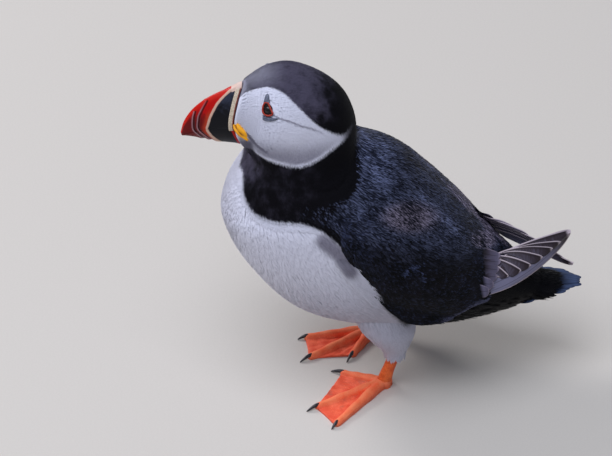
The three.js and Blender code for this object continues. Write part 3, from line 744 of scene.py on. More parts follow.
# ---------------------------------------------------------------------------------------------
# Back: broader, glossy blue-black feathers from the mantle over the shoulders to the rump, each
# with firm webs, and painted streaks of sheen along them where they catch the light.
# ---------------------------------------------------------------------------------------------
BACK_STATIONS = ((0.0, 0.5), (0.38, 1.0), (0.78, 0.9))
BACK_BLACK, BACK_NAVY, BACK_SHEEN_BLUE, BACK_SHEEN_BROWN = srgb(8, 8, 11), srgb(22, 26, 42), srgb(136, 146, 188), srgb(158, 148, 172)
back_zone = neck_and_back & ((CORE["back"] > 0.02) | (CORE_ROWS > 9.6))
back_down = sow(
    body, 12000, 41, back_zone * (0.7 + 0.3 * (CORE_ROWS < 11)),
    lambda u, w: np.interp(u, (7.5, 10, 13), (6.0, 10.0, 13.0)), lambda u, w: np.interp(u, (7.5, 10, 13), (1.6, 2.4, 3.2)),
    lambda u, w: 0.0 * u, lambda u, w: 0.5 * coat_depth(u), lambda u, w: np.interp(u, (7.5, 10), (0.2, 0.42)),
    BACK_STATIONS, 0.14, 0.55, body_place,
)
back_plumes, shader, wire = finish("back_plumes", Specular_IOR_Level=0.07)
vane = attribute(wire, "vane", 1)
streak = vane.noise(1.0, 2.0, (1.5, 0.1, 1.0))
sheen_spots = coordinates(wire).noise(100.0, 3.0)
# Painted sheen: blue highlight streaks where the back shines and brown-pink ones on the brown feathers, over a base
# that turns navy under the sheen.
lit = (streak + sheen_spots * 0.35).rise(0.56, 0.9)
lit = lit * (attribute(wire, "back") + attribute(wire, "brown") * 0.4) * 1.3
painted_light = attribute(wire, "brown").mix(BACK_SHEEN_BLUE, BACK_SHEEN_BROWN)
deep = attribute(wire, "back").mix(BACK_BLACK, BACK_NAVY)
dressed = attribute(wire, "pale").mix((lit * 0.7).mix(deep, painted_light), WHITE)
feed(shader, Base_Color=dressed, Roughness=0.55 - streak * 0.2)
grow("back_coat", back_down, back_plumes)

# ---------------------------------------------------------------------------------------------
# Wings: each a folded blade on the flank, from the wrist under the breast feathers to the long
# primaries. A thin dark bed carries rows of small coverts, and the secondaries show below them.
# ---------------------------------------------------------------------------------------------
# Rails of the left wing, shoulder to tip: the upper one lies along the back, the lower one is the
# leading edge. The left wing tip crosses over the right one.
FRONT_UPPER = ((31, -20, 118), (30, -6, 118), (27.5, 8, 114.5), (24, 22, 106.5), (19, 37, 96))
FRONT_LOWER = ((45, -19, 105), (47, -8, 86.5), (46.5, 5, 67.5), (43, 19, 54.5), (36, 37, 51.8))
WING_RAILS = {
    "left": (
        FRONT_UPPER + ((14, 50, 86), (9.5, 62, 76), (4.5, 75, 77.5), (-1.5, 88, 78.5), (-8.0, 98.8, 76.6)),
        FRONT_LOWER + ((29, 50, 58.5), (23, 64, 60.5), (14, 77, 64.5), (4, 89, 69.5), (-7.4, 99.2, 75.4)),
    ),
    "right": (
        FRONT_UPPER + ((14, 50, 87), (10.5, 62, 80), (6.5, 75, 75), (2, 88, 68.5), (-3.4, 100.8, 63.2)),
        FRONT_LOWER + ((29, 50, 60), (23, 64, 61), (14, 78, 61), (6, 90, 61), (-2.6, 101.2, 61.8)),
    ),
}
WING_THICK = (1.6, 5.0, 5.0, 5.0, 5.0, 3.5, 2.0, 1.8, 1.6, 1.4)
WING_LIFT = (1.1, 2.6)
BED_DEPTH = 1.1
BED_END = 0.6


def flank_width(y, z):
    """How far the body's side stands out at [y, z]: the section through the point is found by
    halving the rows, and its half width there is read from its superellipse."""
    low, high = np.zeros(np.shape(y)), np.full(np.shape(y), float(LAST_ROW))
    for _ in range(18):
        middle = (low + high) / 2
        top_y, top_z, foot_y, foot_z = np.moveaxis(along(BODY, middle), -1, 0)[:4]
        ahead = (top_z - foot_z) * (y - top_y) + (foot_y - top_y) * (z - top_z) > 0
        low, high = np.where(ahead, middle, low), np.where(ahead, high, middle)
    top_y, top_z, foot_y, foot_z, half, level, square = np.moveaxis(along(BODY, low), -1, 0)
    run_y, run_z = top_y - foot_y, top_z - foot_z
    height = ((y - foot_y) * run_y + (z - foot_z) * run_z) / (run_y ** 2 + run_z ** 2)
    reach = np.where(height > level, (height - level) / (1 - level), (level - height) / level)
    inside = np.clip(1 - np.clip(reach, 0, 1) ** square, 0, 1) ** (1 / square)
    swell = 2.4 * step(low, 8.4, 9.8) * step(low, 12.6, 11.0) * step(inside, 0.15, 0.6) * step(height, 0.45, 0.75)
    return np.where(reach < 1, half * inside + swell, -1000.0)


def wing_lift(t, across):
    """How far the folded wing lies over the flank: it sinks in at its wrist and its upper edge."""
    lift = WING_LIFT[0] + (WING_LIFT[1] - WING_LIFT[0]) * np.minimum(across * 1.6, 1)
    lift = lift * step(across, -0.04, 0.2) * step(t, -0.03, 0.11)
    return lift * (1 - 0.45 * step(across, 0.8, 1.0) * step(t, 0.3, 0.15))


def wing_point(rails, t, across, sunk=0.0):
    """A point of the folded wing's outer face: t runs from wrist to tip and across from the upper
    to the lower rail. It lies a little over the flank, or between the rails where they stand free."""
    upper, lower = (along(rail, t * (len(rail) - 1)) for rail in rails)
    x, y, z = np.moveaxis(upper + (lower - upper) * across[..., None], -1, 0)
    free = np.where(across < 0, 0.0, x + 2 * np.sin(math.pi * across))
    outer = np.maximum(flank_width(y, z) + wing_lift(t, across), free) - sunk
    return np.stack([outer, y, z], -1)


def mirror(sown):
    """Blades of the left side set on the right: x and the normals turned over, faces too."""
    sown["points"] = sown["points"] * (-1, 1, 1)
    sown["middle"] = sown["middle"] * (-1, 1, 1)
    sown["normals"] = sown["normals"] * (-1, 1, 1)
    sown["faces"] = [group[:, ::-1] for group in sown["faces"]]
    return sown


wing_bed_skin, shader, wire = finish("wing_bed_skin", Roughness=0.8, Specular_IOR_Level=0.06)
feed(shader, Base_Color=coordinates(wire).noise(500.0, 3.0).mix(srgb(14, 14, 19), srgb(26, 24, 30)))
covert_plumes, shader, wire = finish("covert_plumes", Specular_IOR_Level=0.06)
vane = attribute(wire, "vane", 1)
streak = vane.noise(1.0, 2.0, (2.0, 0.14, 1.0))
patches = coordinates(wire).noise(90.0, 2.0)
# Painted light on the coverts: highlight streaks where they shine, glints, lighter tips on some feathers and a paler
# lavender sheen along the edges.
edge = attribute(wire, "tip").rise(0.7, 1.0) * attribute(wire, "lot").rise(0.6, 1.0)
tint = patches.rise(0.35, 0.65).mix(srgb(5, 6, 9), srgb(15, 13, 16))
lit = (streak + patches * 0.6).rise(0.7, 1.1) * (attribute(wire, "front") + 0.08)
lit = lit + attribute(wire, "glint") * streak.rise(0.3, 0.6) * 0.9 + edge * 0.25
hem = (attribute(wire, "hem") + (streak - 0.5) * 0.6).rise(0.3, 0.9)
feathered = (lit * 0.8).mix(tint, srgb(76, 86, 122))
feed(shader, Base_Color=hem.mix(feathered, srgb(92, 94, 122)), Roughness=0.55 - streak * 0.2)

COVERT_STATIONS = ((0.0, 0.5), (0.4, 1.0), (0.8, 0.9))
# Feather edges that catch the light on the folded wing, as [y, v].
GLINTS = (
    ((11.0, 46.5), (15.0, 50.2), (21.5, 52.8), (27.0, 55.4)), ((14.5, 50.8), (18.5, 48.2), (20.5, 43.6)),
    ((29.0, 56.0), (33.0, 59.0), (37.5, 62.0)),
)


def covert_turn(u, w):
    """Coverts point to the tail, and near the lower edge they sweep down along it."""
    return 0.12 + 0.3 * np.clip(w - 0.4, 0, 1) * np.clip(0.55 - u, 0, 0.3) / 0.3


def covert_marks(sown, side):
    """Where painted sheen lies on the wing's coverts: near the wrist and the upper edge, along the lower edge, on the
    greyish feathers at their rear end, on the far wing's upper rear part and as glints on a few edges.
    """
    y, v = seen(sown["middle"])
    glint = np.min([from_line(line, y, v) for line in GLINTS], axis=0)
    hem = step(sown["across"], 0.86, 0.98) * step(y, 14.0, 36.0) * 0.6
    hem = np.maximum(hem, 0.75 * step(y, 52.0, 57.0) * step(v, 40.0, 60.0))
    if side == "right":
        hem = np.maximum(hem, 0.5 * step(sown["along"], 0.28, 0.42) * step(sown["across"], 0.4, 0.15))
    front = 0.5 * step(y, 8.0, -14.0) * step(sown["across"], 0.9, 0.6) + 0.25 * step(sown["across"], 0.3, 0.1)
    return {"front": front, "glint": step(glint, 1.2, 0.2), "hem": hem}


for side in ("left", "right"):
    rails = WING_RAILS[side]
    turn_way = 1 if side == "left" else -1
    t, turn = np.meshgrid(np.linspace(0.015, BED_END, 70), np.linspace(0, TURN, 60, endpoint=False), indexing="ij")
    face = wing_point(rails, t, (1 - np.cos(turn)) / 2, BED_DEPTH)
    thick = np.interp(t * (len(WING_THICK) - 1), range(len(WING_THICK)), WING_THICK)
    face[..., 0] -= thick / 2 * (1 - np.clip(np.sin(turn) * 2.2, -1, 1))
    bed_points, bed_faces = shell(face * (turn_way, 1, 1))
    bed = new_object(f"wing_bed_{side}", bed_points, bed_faces, wing_bed_skin)
    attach(bed, "root")
    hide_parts(f"wing_{side}")

    wing = Surface(lambda a, b: wing_point(rails, a, b), 1.0, 1.0, 241, 121, False)
    coverts = sow(
        wing, 7600, 51 if side == "left" else 57, (wing.u < 0.575) * 1.0,
        lambda u, w: np.interp(u, (0, 0.15, 0.45, 0.57), (5.0, 8.0, 10.0, 7.0)),
        lambda u, w: np.interp(u, (0, 0.5), (1.7, 3.0)),
        covert_turn, lambda u, w: 1.0 + 0.0 * u, lambda u, w: 0.35 + 0.0 * u,
        COVERT_STATIONS, 0.16, 0.6, lambda u, w: np.stack([0.02 + 0.9 * u, 0.02 + 0.9 * w], -1),
    )
    if side == "right":
        coverts = mirror(coverts)
    grow(f"covert_coat_{side}", coverts, covert_plumes, covert_marks(coverts, side))

# ---------------------------------------------------------------------------------------------
# Flight feathers: brown vanes with pale worn fringes. The inner primaries lie over the outer ones
# and fan out from the wrist; the greyish tips of the secondaries cover their bases.
# ---------------------------------------------------------------------------------------------
VANE_STEPS, VANE_ACROSS = 40, 13
WEDGE = 2.5


def blade_place(side, slanted):
    """Gives a function that sets places of the side view on the free blade of that wing.

    Slanted places are [y, v] as the markings' are, and the others are [y, z].
    """
    upper, lower = (along(rail, np.linspace(0, 9, 181)) for rail in WING_RAILS[side])

    def width(y, z):
        high, low = np.interp(y, upper[:, 1], upper[:, 2]), np.interp(y, lower[:, 1], lower[:, 2])
        f = np.clip((high - z) / np.maximum(high - low, 0.5), 0, 1)
        free = (1 - f) * np.interp(y, upper[:, 1], upper[:, 0]) + f * np.interp(y, lower[:, 1], lower[:, 0])
        return np.maximum(free + 2 * np.sin(math.pi * f), flank_width(y, z) + wing_lift(0.5, f))

    def place(y, v, lift):
        z = v
        if slanted:
            x = np.full(np.shape(y), 10.0)
            for _ in range(12):
                z = (v + x * math.sin(LOOK_DOWN)) / math.cos(LOOK_DOWN)
                x = 0.5 * (x + width(y, z))
        else:
            x = width(y, z)
        return np.stack([(x + lift) * (1 if side == "left" else -1), y, z], -1)

    return place


def vanes(feathers, place, thick, sunk=0.0, free_from=0.0):
    """Broad flight feathers as joined closed blades.

    Each is a base, a tip, a sideways bend, a half width, how far along its end starts to round,
    how high it lies and the width of its hinder web. Its shaft runs from base to tip and is bowed
    by the bend; its sides stand off it by the half width, and close in on the tip along a rounded
    arc. A hinder web that is given instead widens as a wedge from the base and runs to the tip as
    the sine of a power of how far along it is. The base lies deeper by sunk, and the feather
    reaches its full height from free_from along it, one number or one for each feather.
    """
    points, quads, caps, marks = [], [], [], []
    far = 1 - np.cos(np.linspace(0, math.pi / 2, VANE_STEPS))
    far = np.concatenate([np.linspace(0, 0.6, 14), 0.6 + 0.4 * np.sin(np.linspace(0, math.pi / 2, VANE_STEPS - 13))[1:]])
    down = np.concatenate([np.linspace(-1, 1, VANE_ACROSS), np.linspace(1, -1, VANE_ACROSS)[1:-1]])
    top = np.concatenate([np.ones(VANE_ACROSS), np.zeros(VANE_ACROSS - 2)])
    a, b = np.meshgrid(far, down, indexing="ij")
    _, is_top = np.meshgrid(far, top, indexing="ij")
    free = np.broadcast_to(free_from, len(feathers))
    for number, (base, tip, bend, half, rounded, high, *web) in enumerate(feathers):
        base, tip = np.array(base, float), np.array(tip, float)
        run = tip - base
        off = np.array((-run[1], run[0])) / np.linalg.norm(run)
        profile = (0.55 + 0.45 * step(a, 0.0, 0.4)) * np.sqrt(
            np.clip(1 - (np.clip(a - rounded, 0, 1) / (1 - rounded)) ** 2.2, 0, 1)
        )
        side = b
        if web:
            profile = np.where(b < 0, np.sin(math.pi * a ** WEDGE) * web[0] / half, profile)
            side = np.where(b > 0, 0.72 + 0.28 * b, 0.35 * b)
        flat = base + a[..., None] * run + off * (bend * np.sin(math.pi * a) + b * half * profile)[..., None]
        vault = (1 - b ** 2) * 0.24
        lift = high + vault - (1 - is_top) * thick - (sunk + high) * step(a, free[number] + 0.3, free[number] - 0.1)
        rings = place(flat[..., 0], flat[..., 1], lift)
        made, faces = shell(rings)
        start = sum(len(group) for group in points)
        points.append(made)
        quads.append(faces[0] + start)
        caps.append(faces[1] + start)
        length = np.linalg.norm(run)
        values = np.stack([side * np.ones_like(a), a, np.full_like(a, number)], -1).reshape(-1, 3)
        marks.append(np.vstack([values, (0, 0, number), (0, 1, number)]) * (1, 1, 1))
    return np.vstack(points), [np.vstack(quads), np.vstack(caps)], np.vstack(marks)


def vane_uv(marks, rows=12):
    """Each flight feather's own strip on the map OFBake."""
    return np.stack([0.05 + 0.9 * marks[:, 1], 0.05 + 0.9 * (marks[:, 2] + 0.45 * (marks[:, 0] + 1)) / rows], -1)


def mm(px, py):
    """A place of the picture plane, in pixels, as [y, v] in millimetres."""
    return ((px - 376.0) / 1.95, (361.0 - py) / 1.95)


# base, tip, bend, half width, where the tip starts to round, height over the wing's face
LEFT_PRIMARIES = (
    (mm(468, 300), mm(571.0, 231.5), -4.9, 2.3, 0.8, 0.0),
    (mm(472, 293), mm(571.0, 230.0), -3.2, 3.4, 0.5, 0.1),
    (mm(488, 268), mm(570.5, 230.0), -0.2, 3.4, 0.4, 0.2),
    (mm(484, 264), mm(513.0, 272.0), 0.0, 4.6, 0.6, 0.18),
    (mm(490, 258), mm(570.0, 229.8), 1.0, 0.8, 0.9, 0.3, 5.4),
    (mm(490, 257), mm(561.5, 241.4), 2.0, 0.8, 0.9, 0.4, 4.6),
    (mm(490, 256), mm(553.2, 247.8), 2.4, 0.8, 0.9, 0.5, 5.2),
    (mm(490, 255), mm(543.0, 256.5), 2.3, 0.8, 0.9, 0.6, 5.2),
    (mm(490, 255), mm(531.0, 264.5), 1.3, 0.8, 0.9, 0.7, 5.0),
    (mm(490, 257), mm(521.0, 269.9), 0.9, 0.8, 0.9, 0.8, 5.4),
    (mm(491, 262), mm(508.0, 275.5), 0.4, 0.8, 0.9, 0.9, 3.4),
)
PRIMARY_FREE = {
    "left": (0.08, 0.08) + 9 * (-0.18,),
    "right": (0.07, 0.05, 0.07, 0.14, 0.24, 0.39),
}
LEFT_SECONDARIES = (
    (mm(462, 294.5), mm(489.0, 288.5), -0.2, 3.6, 0.6, 1.35),
    (mm(461, 286), mm(493.5, 281.5), 0.0, 3.8, 0.6, 1.4),
    (mm(458, 276.5), mm(497.0, 274.5), 0.1, 3.8, 0.6, 1.45),
    (mm(450, 267), mm(499.0, 267.5), 0.2, 3.8, 0.6, 1.5),
    (mm(446, 258), mm(500.5, 260.0), 0.3, 3.8, 0.6, 1.55),
    (mm(444, 251), mm(500.5, 254.0), 0.3, 3.2, 0.62, 1.6),
)
RIGHT_SECONDARIES = (
    ((43, 61.5), (58.5, 62.5), 0.0, 3.2, 0.6, 1.7),
    ((43, 65.5), (60.5, 66.0), 0.0, 3.2, 0.6, 1.75),
    ((43, 69.5), (62.0, 69.5), 0.0, 3.2, 0.6, 1.8),
    ((42, 73.5), (62.5, 73.0), 0.0, 3.2, 0.6, 1.85),
    ((41, 77.5), (62.0, 76.5), 0.0, 3.2, 0.6, 1.9),
    ((40, 81.5), (60.5, 79.8), 0.0, 3.2, 0.6, 1.95),
)
RIGHT_PRIMARIES = (
    ((52, 68), (101.5, 62.6), -1.0, 3.0, 0.8, 0.1),
    ((54, 70.5), (97.0, 64.2), 0.6, 2.8, 0.8, 0.4),
    ((54, 73), (91.0, 67.0), 0.8, 2.8, 0.8, 0.7),
    ((52, 76), (85.0, 69.6), 0.8, 2.8, 0.8, 1.0),
    ((50, 79), (79.0, 72.4), 0.8, 2.8, 0.8, 1.3),
    ((48, 81), (72.0, 74.8), 0.8, 2.8, 0.8, 1.6),
)


def flight_finish(name, web, outer, fringe, dark, root, rim):
    """Vane: barbs slant from the shaft to the edge, the edges and tip are worn pale. Where
    other feathers lie over it it has the colour root, up to rim, a range of how far along it is."""
    made, shader, wire = finish(name, Specular_IOR_Level=0.14)
    vane = attribute(wire, "vane", 1)
    side, far = vane.part(0), vane.part(1)
    slant = vane.node("ShaderNodeCombineXYZ", {}, {0: far * 9.0 - side * side * 1.2, 1: side * 0.7, 2: vane.part(2) * 3.0})
    barb = slant.noise(6.0, 2.0)
    worn = side.maths("ABSOLUTE", side).rise(0.76, 0.9).most(far.rise(0.94, 0.985))
    shaft = side.maths("ABSOLUTE", side).rise(0.09, 0.03)
    body = (barb * 0.6 + side.rise(0.2, -0.9) * 0.5 + vane.part(2).rise(1.6, 1.4) * 0.8).rise(0.2, 1.2).mix(web, outer)
    darker = far.rise(0.7, 0.95).mix(body, dark)
    shafted = far.rise(*rim).mix(root, (shaft * 0.5).mix(darker, srgb(30, 24, 28)))
    fringed = (worn * 0.9 * far.rise(*rim)).mix(shafted, fringe)
    feed(shader, Base_Color=fringed, Roughness=0.55 - barb * 0.2)
    return made


# outer, the lavender-grey of the outermost webs, is their silvery grey with painted sheen.
primary_vanes = flight_finish("primary_vanes", srgb(54, 44, 49), srgb(120, 118, 142), srgb(190, 176, 184), srgb(48, 40, 45), srgb(54, 44, 49), (-0.2, -0.1))
secondary_vanes = flight_finish("secondary_vanes", srgb(62, 55, 66), srgb(98, 94, 118), srgb(122, 112, 130), srgb(90, 85, 105), srgb(12, 11, 15), (0.64, 0.84))
for side, primaries, secondaries in (
    ("left", LEFT_PRIMARIES, LEFT_SECONDARIES), ("right", RIGHT_PRIMARIES, RIGHT_SECONDARIES),
):
    points, faces, marks = vanes(primaries, blade_place(side, side == "left"), 0.28, 1.0, PRIMARY_FREE[side])
    # The right wing's numbers are scaled down, so that all its primaries take that lavender-grey.
    worn = marks * (1, 1, 0.2 if side == "right" else 1)
    hand = new_object(f"primary_vanes_{side}", points, faces, primary_vanes, uv=vane_uv(marks), vane=worn)
    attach(hand, "root")
    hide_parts(f"primaries_{side}")
    points, faces, marks = vanes(secondaries, blade_place(side, side == "left"), 0.28, 0.9, 0.6)
    arm = new_object(f"secondary_vanes_{side}", points, faces, secondary_vanes, uv=vane_uv(marks), vane=marks)
    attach(arm, "root")

# ---------------------------------------------------------------------------------------------
# Tail: sixteen short blue-black feathers in a flat fan, the middle pair longest and uppermost
# ---------------------------------------------------------------------------------------------
TAIL_FEATHERS = 16
TAIL_ROOT = np.array((-0.5, 60.0, 45.0))
TAIL_REACH, TAIL_ROUND, TAIL_SPREAD, TAIL_LEAN = 106.0, 0.105, 15.5, -4.2
TAIL_HALF = 3.4


def tail_place(y, x, lift):
    """Places of the tail seen from above, set on its gently arched and rising sheet."""
    middle = np.interp(y, (50, 60, 70, 80, 90, 99, 106), (42.4, 44.6, 46.8, 48.2, 48.6, 48.0, 46.8))
    sag = ((x - TAIL_LEAN * (y - 60) / 46) / 17.0) ** 2
    return np.stack([x, y, middle - 1.6 * sag + lift], -1)


rank = np.arange(TAIL_FEATHERS) - (TAIL_FEATHERS - 1) / 2
order = np.argsort(-np.abs(rank))
tail_feathers = []
for level, number in enumerate(order):
    off = rank[number] / rank.max()
    tip_x = TAIL_LEAN + off * TAIL_SPREAD
    tip_y = TAIL_REACH - TAIL_ROUND * (off * TAIL_SPREAD) ** 2 + (0.9 if number % 3 == 0 else -0.7)
    tail_feathers.append((
        (TAIL_ROOT[1], TAIL_ROOT[0] + off * 8.0), (tip_y, tip_x), 0.0, TAIL_HALF, 0.72, -0.9 + 0.11 * level,
    ))
points, faces, marks = vanes(tail_feathers, tail_place, 0.25)
# The tail's lighter blue towards the tips is painted sheen on its blue-black feathers.
tail_vanes = flight_finish("tail_vanes", srgb(12, 14, 22), srgb(30, 38, 60), srgb(52, 62, 88), srgb(62, 76, 108), srgb(12, 14, 22), (0.64, 0.86))
tail = new_object("tail_vanes", points, faces, tail_vanes, uv=vane_uv(marks, 16), vane=marks)
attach(tail, "root")
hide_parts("tail")

# ---------------------------------------------------------------------------------------------
# Long feathers that join the parts: scapulars from the back over the wing's upper edge, white flank
# feathers over its front edge, black coverts over and under the tail, and the white trousers.
# ---------------------------------------------------------------------------------------------
SCAPULAR_ACROSS = (-0.14, 0.42)
SCAPULARS, FLANK_PLUMES, TAIL_COVERTS, TROUSERS = 2600, 2600, 3400, 2600


def scapular_place(u, w):
    """Scapulars fill the map from back to wing."""
    return np.stack([0.02 + 0.9 * u / 0.62, 0.02 + 0.9 * w], -1)


def edge_ahead(points):
    """How far places on the flank lie ahead of the wing's front edge, seen from the side."""
    rail = along(WING_RAILS["left"][1], np.linspace(0, 4, 60))
    return np.interp(points[..., 2], rail[::-1, 2], rail[::-1, 1]) - points[..., 1]


LONG_BODY = np.vstack([
    BODY, (96.0, 51.0, 88.0, 44.2, 10.5, 0.6, 2.1), (105.0, 49.8, 99.0, 45.6, 9.0, 0.6, 2.1),
])
rear = Surface(lambda row, angle: section_point(LONG_BODY, row, angle), LAST_ROW + 2, TURN, 241, 181, True)
flank_zone = (edge_ahead(body.points) > 0.5) & (edge_ahead(body.points) < 8.0) & (body.points[..., 2] > 70)
flank_zone = flank_zone & (body.points[..., 2] < 97) & (np.abs(body.points[..., 0]) > 20) & (CORE["pale"] > 0.3)
LONG_THIGH = np.vstack([THIGH + (0, 0, 0, 0.2, 0.2), (24.5, 9.9, 16.5, 3.6, 4.6)])
for side, way_out in (("left", 1), ("right", -1)):
    rails = WING_RAILS[side]
    low, high = SCAPULAR_ACROSS
    shoulder = Surface(lambda a, b: wing_point(rails, a, low + (high - low) * b), 0.62, 1.0, 161, 81, False)
    near_back = step(shoulder.w, 1.0, 0.35) * (shoulder.u < 0.46) * 1.0
    scapulars = sow(
        shoulder, SCAPULARS, 71 + way_out, near_back,
        lambda u, w: 10.0 + 10.0 * np.clip(u, 0, 0.4), lambda u, w: 2.2 + 2.0 * np.clip(u, 0, 0.4),
        lambda u, w: 0.12 + 0.14 * w, lambda u, w: 0.9 + 0.0 * u, lambda u, w: 0.55 + 0.0 * u,
        BACK_STATIONS, 0.14, 0.55, scapular_place,
    )
    if side == "right":
        scapulars = mirror(scapulars)
        # The far scapulars' rear part takes brown and the back's painted sheen: painted light along the far shoulder.
        worn = 0.9 * np.repeat(step(scapulars["along"], 0.24, 0.4), scapulars["per"])
        scapulars["dress"]["brown"] = np.maximum(scapulars["dress"]["brown"], worn)
        scapulars["dress"]["back"] = np.maximum(scapulars["dress"]["back"], worn)
    grow(f"scapular_coat_{side}", scapulars, back_plumes)

    half = CORE_ANGLE <= math.pi if side == "left" else CORE_ANGLE > math.pi
    flank = sow(
        body, FLANK_PLUMES, 81 + way_out, (flank_zone & half) * 1.0,
        lambda u, w: 9.0 + 0.0 * u, lambda u, w: 0.7 + 0.0 * u, lambda u, w: 0.0 * u,
        lambda u, w: 0.8 + 0.0 * u, lambda u, w: 3.6 + 0.0 * u, SILK_STATIONS, 0.15, 0.3, body_place,
    )
    grow(f"flank_coat_{side}", flank, silk_plumes)

    turned = -1 if side == "left" else 1
    thigh = Surface(lambda a, b: leg_point(LONG_THIGH, side, a, turned * b), 4.0, TURN, 81, 73, True)
    trousers = sow(
        thigh, TROUSERS, 91 + way_out, (thigh.u < 3.1) * 1.0,
        lambda u, w: np.interp(u, (0, 3), (7.0, 4.5)), lambda u, w: 1.3 + 0.0 * u, lambda u, w: 0.0 * u,
        lambda u, w: 1.0 + 0.0 * u, lambda u, w: np.interp(u, (0, 2, 3), (0.5, 0.5, 0.9)),
        SILK_STATIONS, 0.15, 0.35, lambda u, w: np.stack([0.02 + 0.9 * u / 4, 0.02 + 0.9 * np.mod(w, TURN) / TURN], -1),
    )
    grow(f"trouser_coat_{side}", trousers, silk_plumes)

rear_dark = (rear.u > 11.6) & (rear.u < 15.2) & (rear.dress["pale"] < 0.5)
tail_cover = sow(
    rear, TAIL_COVERTS, 61, rear_dark * 1.0,
    lambda u, w: np.interp(u, (11.6, 14, 15.5), (9.0, 12.0, 9.0)), lambda u, w: 2.4 + 0.0 * u,
    lambda u, w: 0.0 * u, lambda u, w: 0.8 + 0.0 * u,
    lambda u, w: np.where(np.cos(w) < 0, 1.6, 0.5), BACK_STATIONS, 0.14, 0.5,
    lambda u, w: np.stack([0.02 + 0.94 * u / (LAST_ROW + 2), 0.02 + 0.96 * np.mod(w, TURN) / TURN], -1),
)
grow("tail_covert_coat", tail_cover, back_plumes)

# ---------------------------------------------------------------------------------------------
# Bill: two horn mandibles, deep and thin, parted along the gape. Slate at the base, then a cream
# ridge, then red with two grooves; the horn is ridged crosswise and dully glossy.
# ---------------------------------------------------------------------------------------------
BILL = np.array((
    (-68.4, 173.4, -69.4, 136.6, 7.6, 0.38, 1.9),  # base
    (-71.8, 171.9, -72.0, 137.2, 7.2, 0.38, 1.9),  # front of the rim
    (-76.5, 169.5, -76.0, 137.6, 6.7, 0.38, 1.85),  # slate
    (-83.0, 166.1, -82.0, 138.3, 5.8, 0.38, 1.8),  # first ridge
    (-89.0, 161.9, -87.5, 139.3, 4.7, 0.38, 1.8),  # second ridge
    (-94.4, 156.3, -92.5, 140.5, 3.5, 0.38, 1.8),  # hook
    (-98.2, 149.6, -96.5, 141.1, 2.3, 0.38, 1.8),  # nail
    (-99.8, 143.4, -99.0, 141.2, 1.0, 0.4, 2.0),  # tip
))
GAPE = ((-101.0, 141.6), (-94.0, 144.9), (-87.0, 148.0), (-80.0, 149.7), (-66.0, 150.4))
GAPE_GAP = 0.12
# Lines on the bill as [y, v], culmen to gape and on over the lower mandible.
CREAM_RIDGE = ((-69.5, 141.0), (-73.2, 139.0), (-77.2, 135.7), (-80.8, 131.7), (-82.9, 128.2), (-84.7, 124.5),
               (-85.8, 120.9), (-86.4, 118.6), (-85.1, 116.3), (-82.9, 114.1), (-80.1, 112.3), (-76.5, 111.0),
               (-70.0, 110.5))
HIND_GROOVE = ((-86.9, 132.8), (-89.4, 128.2), (-90.8, 125.2), (-91.2, 122.7), (-91.4, 119.8), (-90.5, 117.7),
               (-87.9, 115.5), (-84.4, 113.0), (-82.0, 111.2))
FORE_GROOVE = ((-93.0, 127.4), (-93.7, 124.5), (-93.9, 120.9), (-93.4, 118.1), (-91.2, 115.9), (-88.7, 114.1),
               (-85.5, 112.0))
BILL_ROWS, BILL_ROUND, BILL_FLOOR = 150, 120, 13


def gape_angle(row):
    """The angle at which each section of the bill meets the gape."""
    angle = np.linspace(0.0, math.pi, 721)
    points = section_point(BILL, row[:, None], angle[None])
    gape = curve(GAPE, False, 16)
    over = points[..., 2] - np.interp(points[..., 1], gape[:, 0], gape[:, 1])
    return angle[np.argmax(over < 0, axis=1)]


def bill_relief(y, v):
    """How far the horn stands out: a rounded cream ridge and two grooves, each with a lip ahead."""
    ridge = 0.32 * np.exp(-(from_line(CREAM_RIDGE, y, v) / 0.8) ** 2)
    cut = 0.0
    for line in (HIND_GROOVE, FORE_GROOVE):
        cut = cut + 0.42 * np.exp(-(from_line(np.add(line, (0.55, 0.0)), y, v) / 0.5) ** 2)
        cut = cut - 0.22 * np.exp(-(from_line(np.add(line, (-0.3, 0.0)), y, v) / 0.5) ** 2)
    return ridge - cut


def mandible(upper):
    """Half of the bill: sections over its round, closed by a floor along the gape.

    The round is the section's own superellipse from gape to gape, raised by the relief.
    """
    row = 7 * np.linspace(0, 1, BILL_ROWS) ** 0.9
    meets = gape_angle(row)
    share = np.linspace(-1, 1, BILL_ROUND)
    if upper:
        angle = share * meets[:, None]
    else:
        angle = math.pi + share * (math.pi - meets[:, None])
    rows_wide = row[:, None] + 0 * angle
    points = section_point(BILL, rows_wide, angle)
    way_along = np.gradient(points, axis=0)
    way_round = np.gradient(points, axis=1)
    out = unit(np.cross(way_round, way_along))
    out *= np.sign(np.sum(out * (points - points.mean(1, keepdims=True)), -1, keepdims=True).mean())
    y, v = seen(points)
    points = points + out * bill_relief(y, v)[..., None]
    points[..., 2] += np.where(upper, GAPE_GAP, -GAPE_GAP) * np.abs(share) ** 8
    f = np.linspace(0, 1, BILL_FLOOR)[1:-1, None]
    floor_points = points[:, -1:] * (1 - f) + points[:, :1] * f
    return shell(np.concatenate([points, floor_points], 1))


HORN_RED, HORN_DEEP, HORN_HIGHLIGHT = srgb(184, 10, 8), srgb(104, 4, 8), srgb(192, 24, 12)
HORN_SLATE, HORN_SLATE_LIGHT, HORN_CREAM = srgb(11, 12, 19), srgb(50, 54, 70), srgb(208, 172, 152)
HORN_RUST, HORN_PINK = srgb(186, 58, 30), srgb(214, 184, 170)
bill_horn, shader, wire = finish("bill_horn", Specular_IOR_Level=0.14, Coat_Roughness=0.3, Coat_Weight=0.06)
grow_lines = coordinates(wire).noise(1000.0, 3.0, (0.3, 1.3, 0.35))
mottle = coordinates(wire).noise(420.0, 3.0)
ridge_line, base_side = attribute(wire, "cream"), attribute(wire, "slate_side")
deep = (attribute(wire, "low") + (grow_lines - 0.5) * 0.9).rise(0.15, 0.95)
red = deep.mix(HORN_RED, HORN_DEEP)
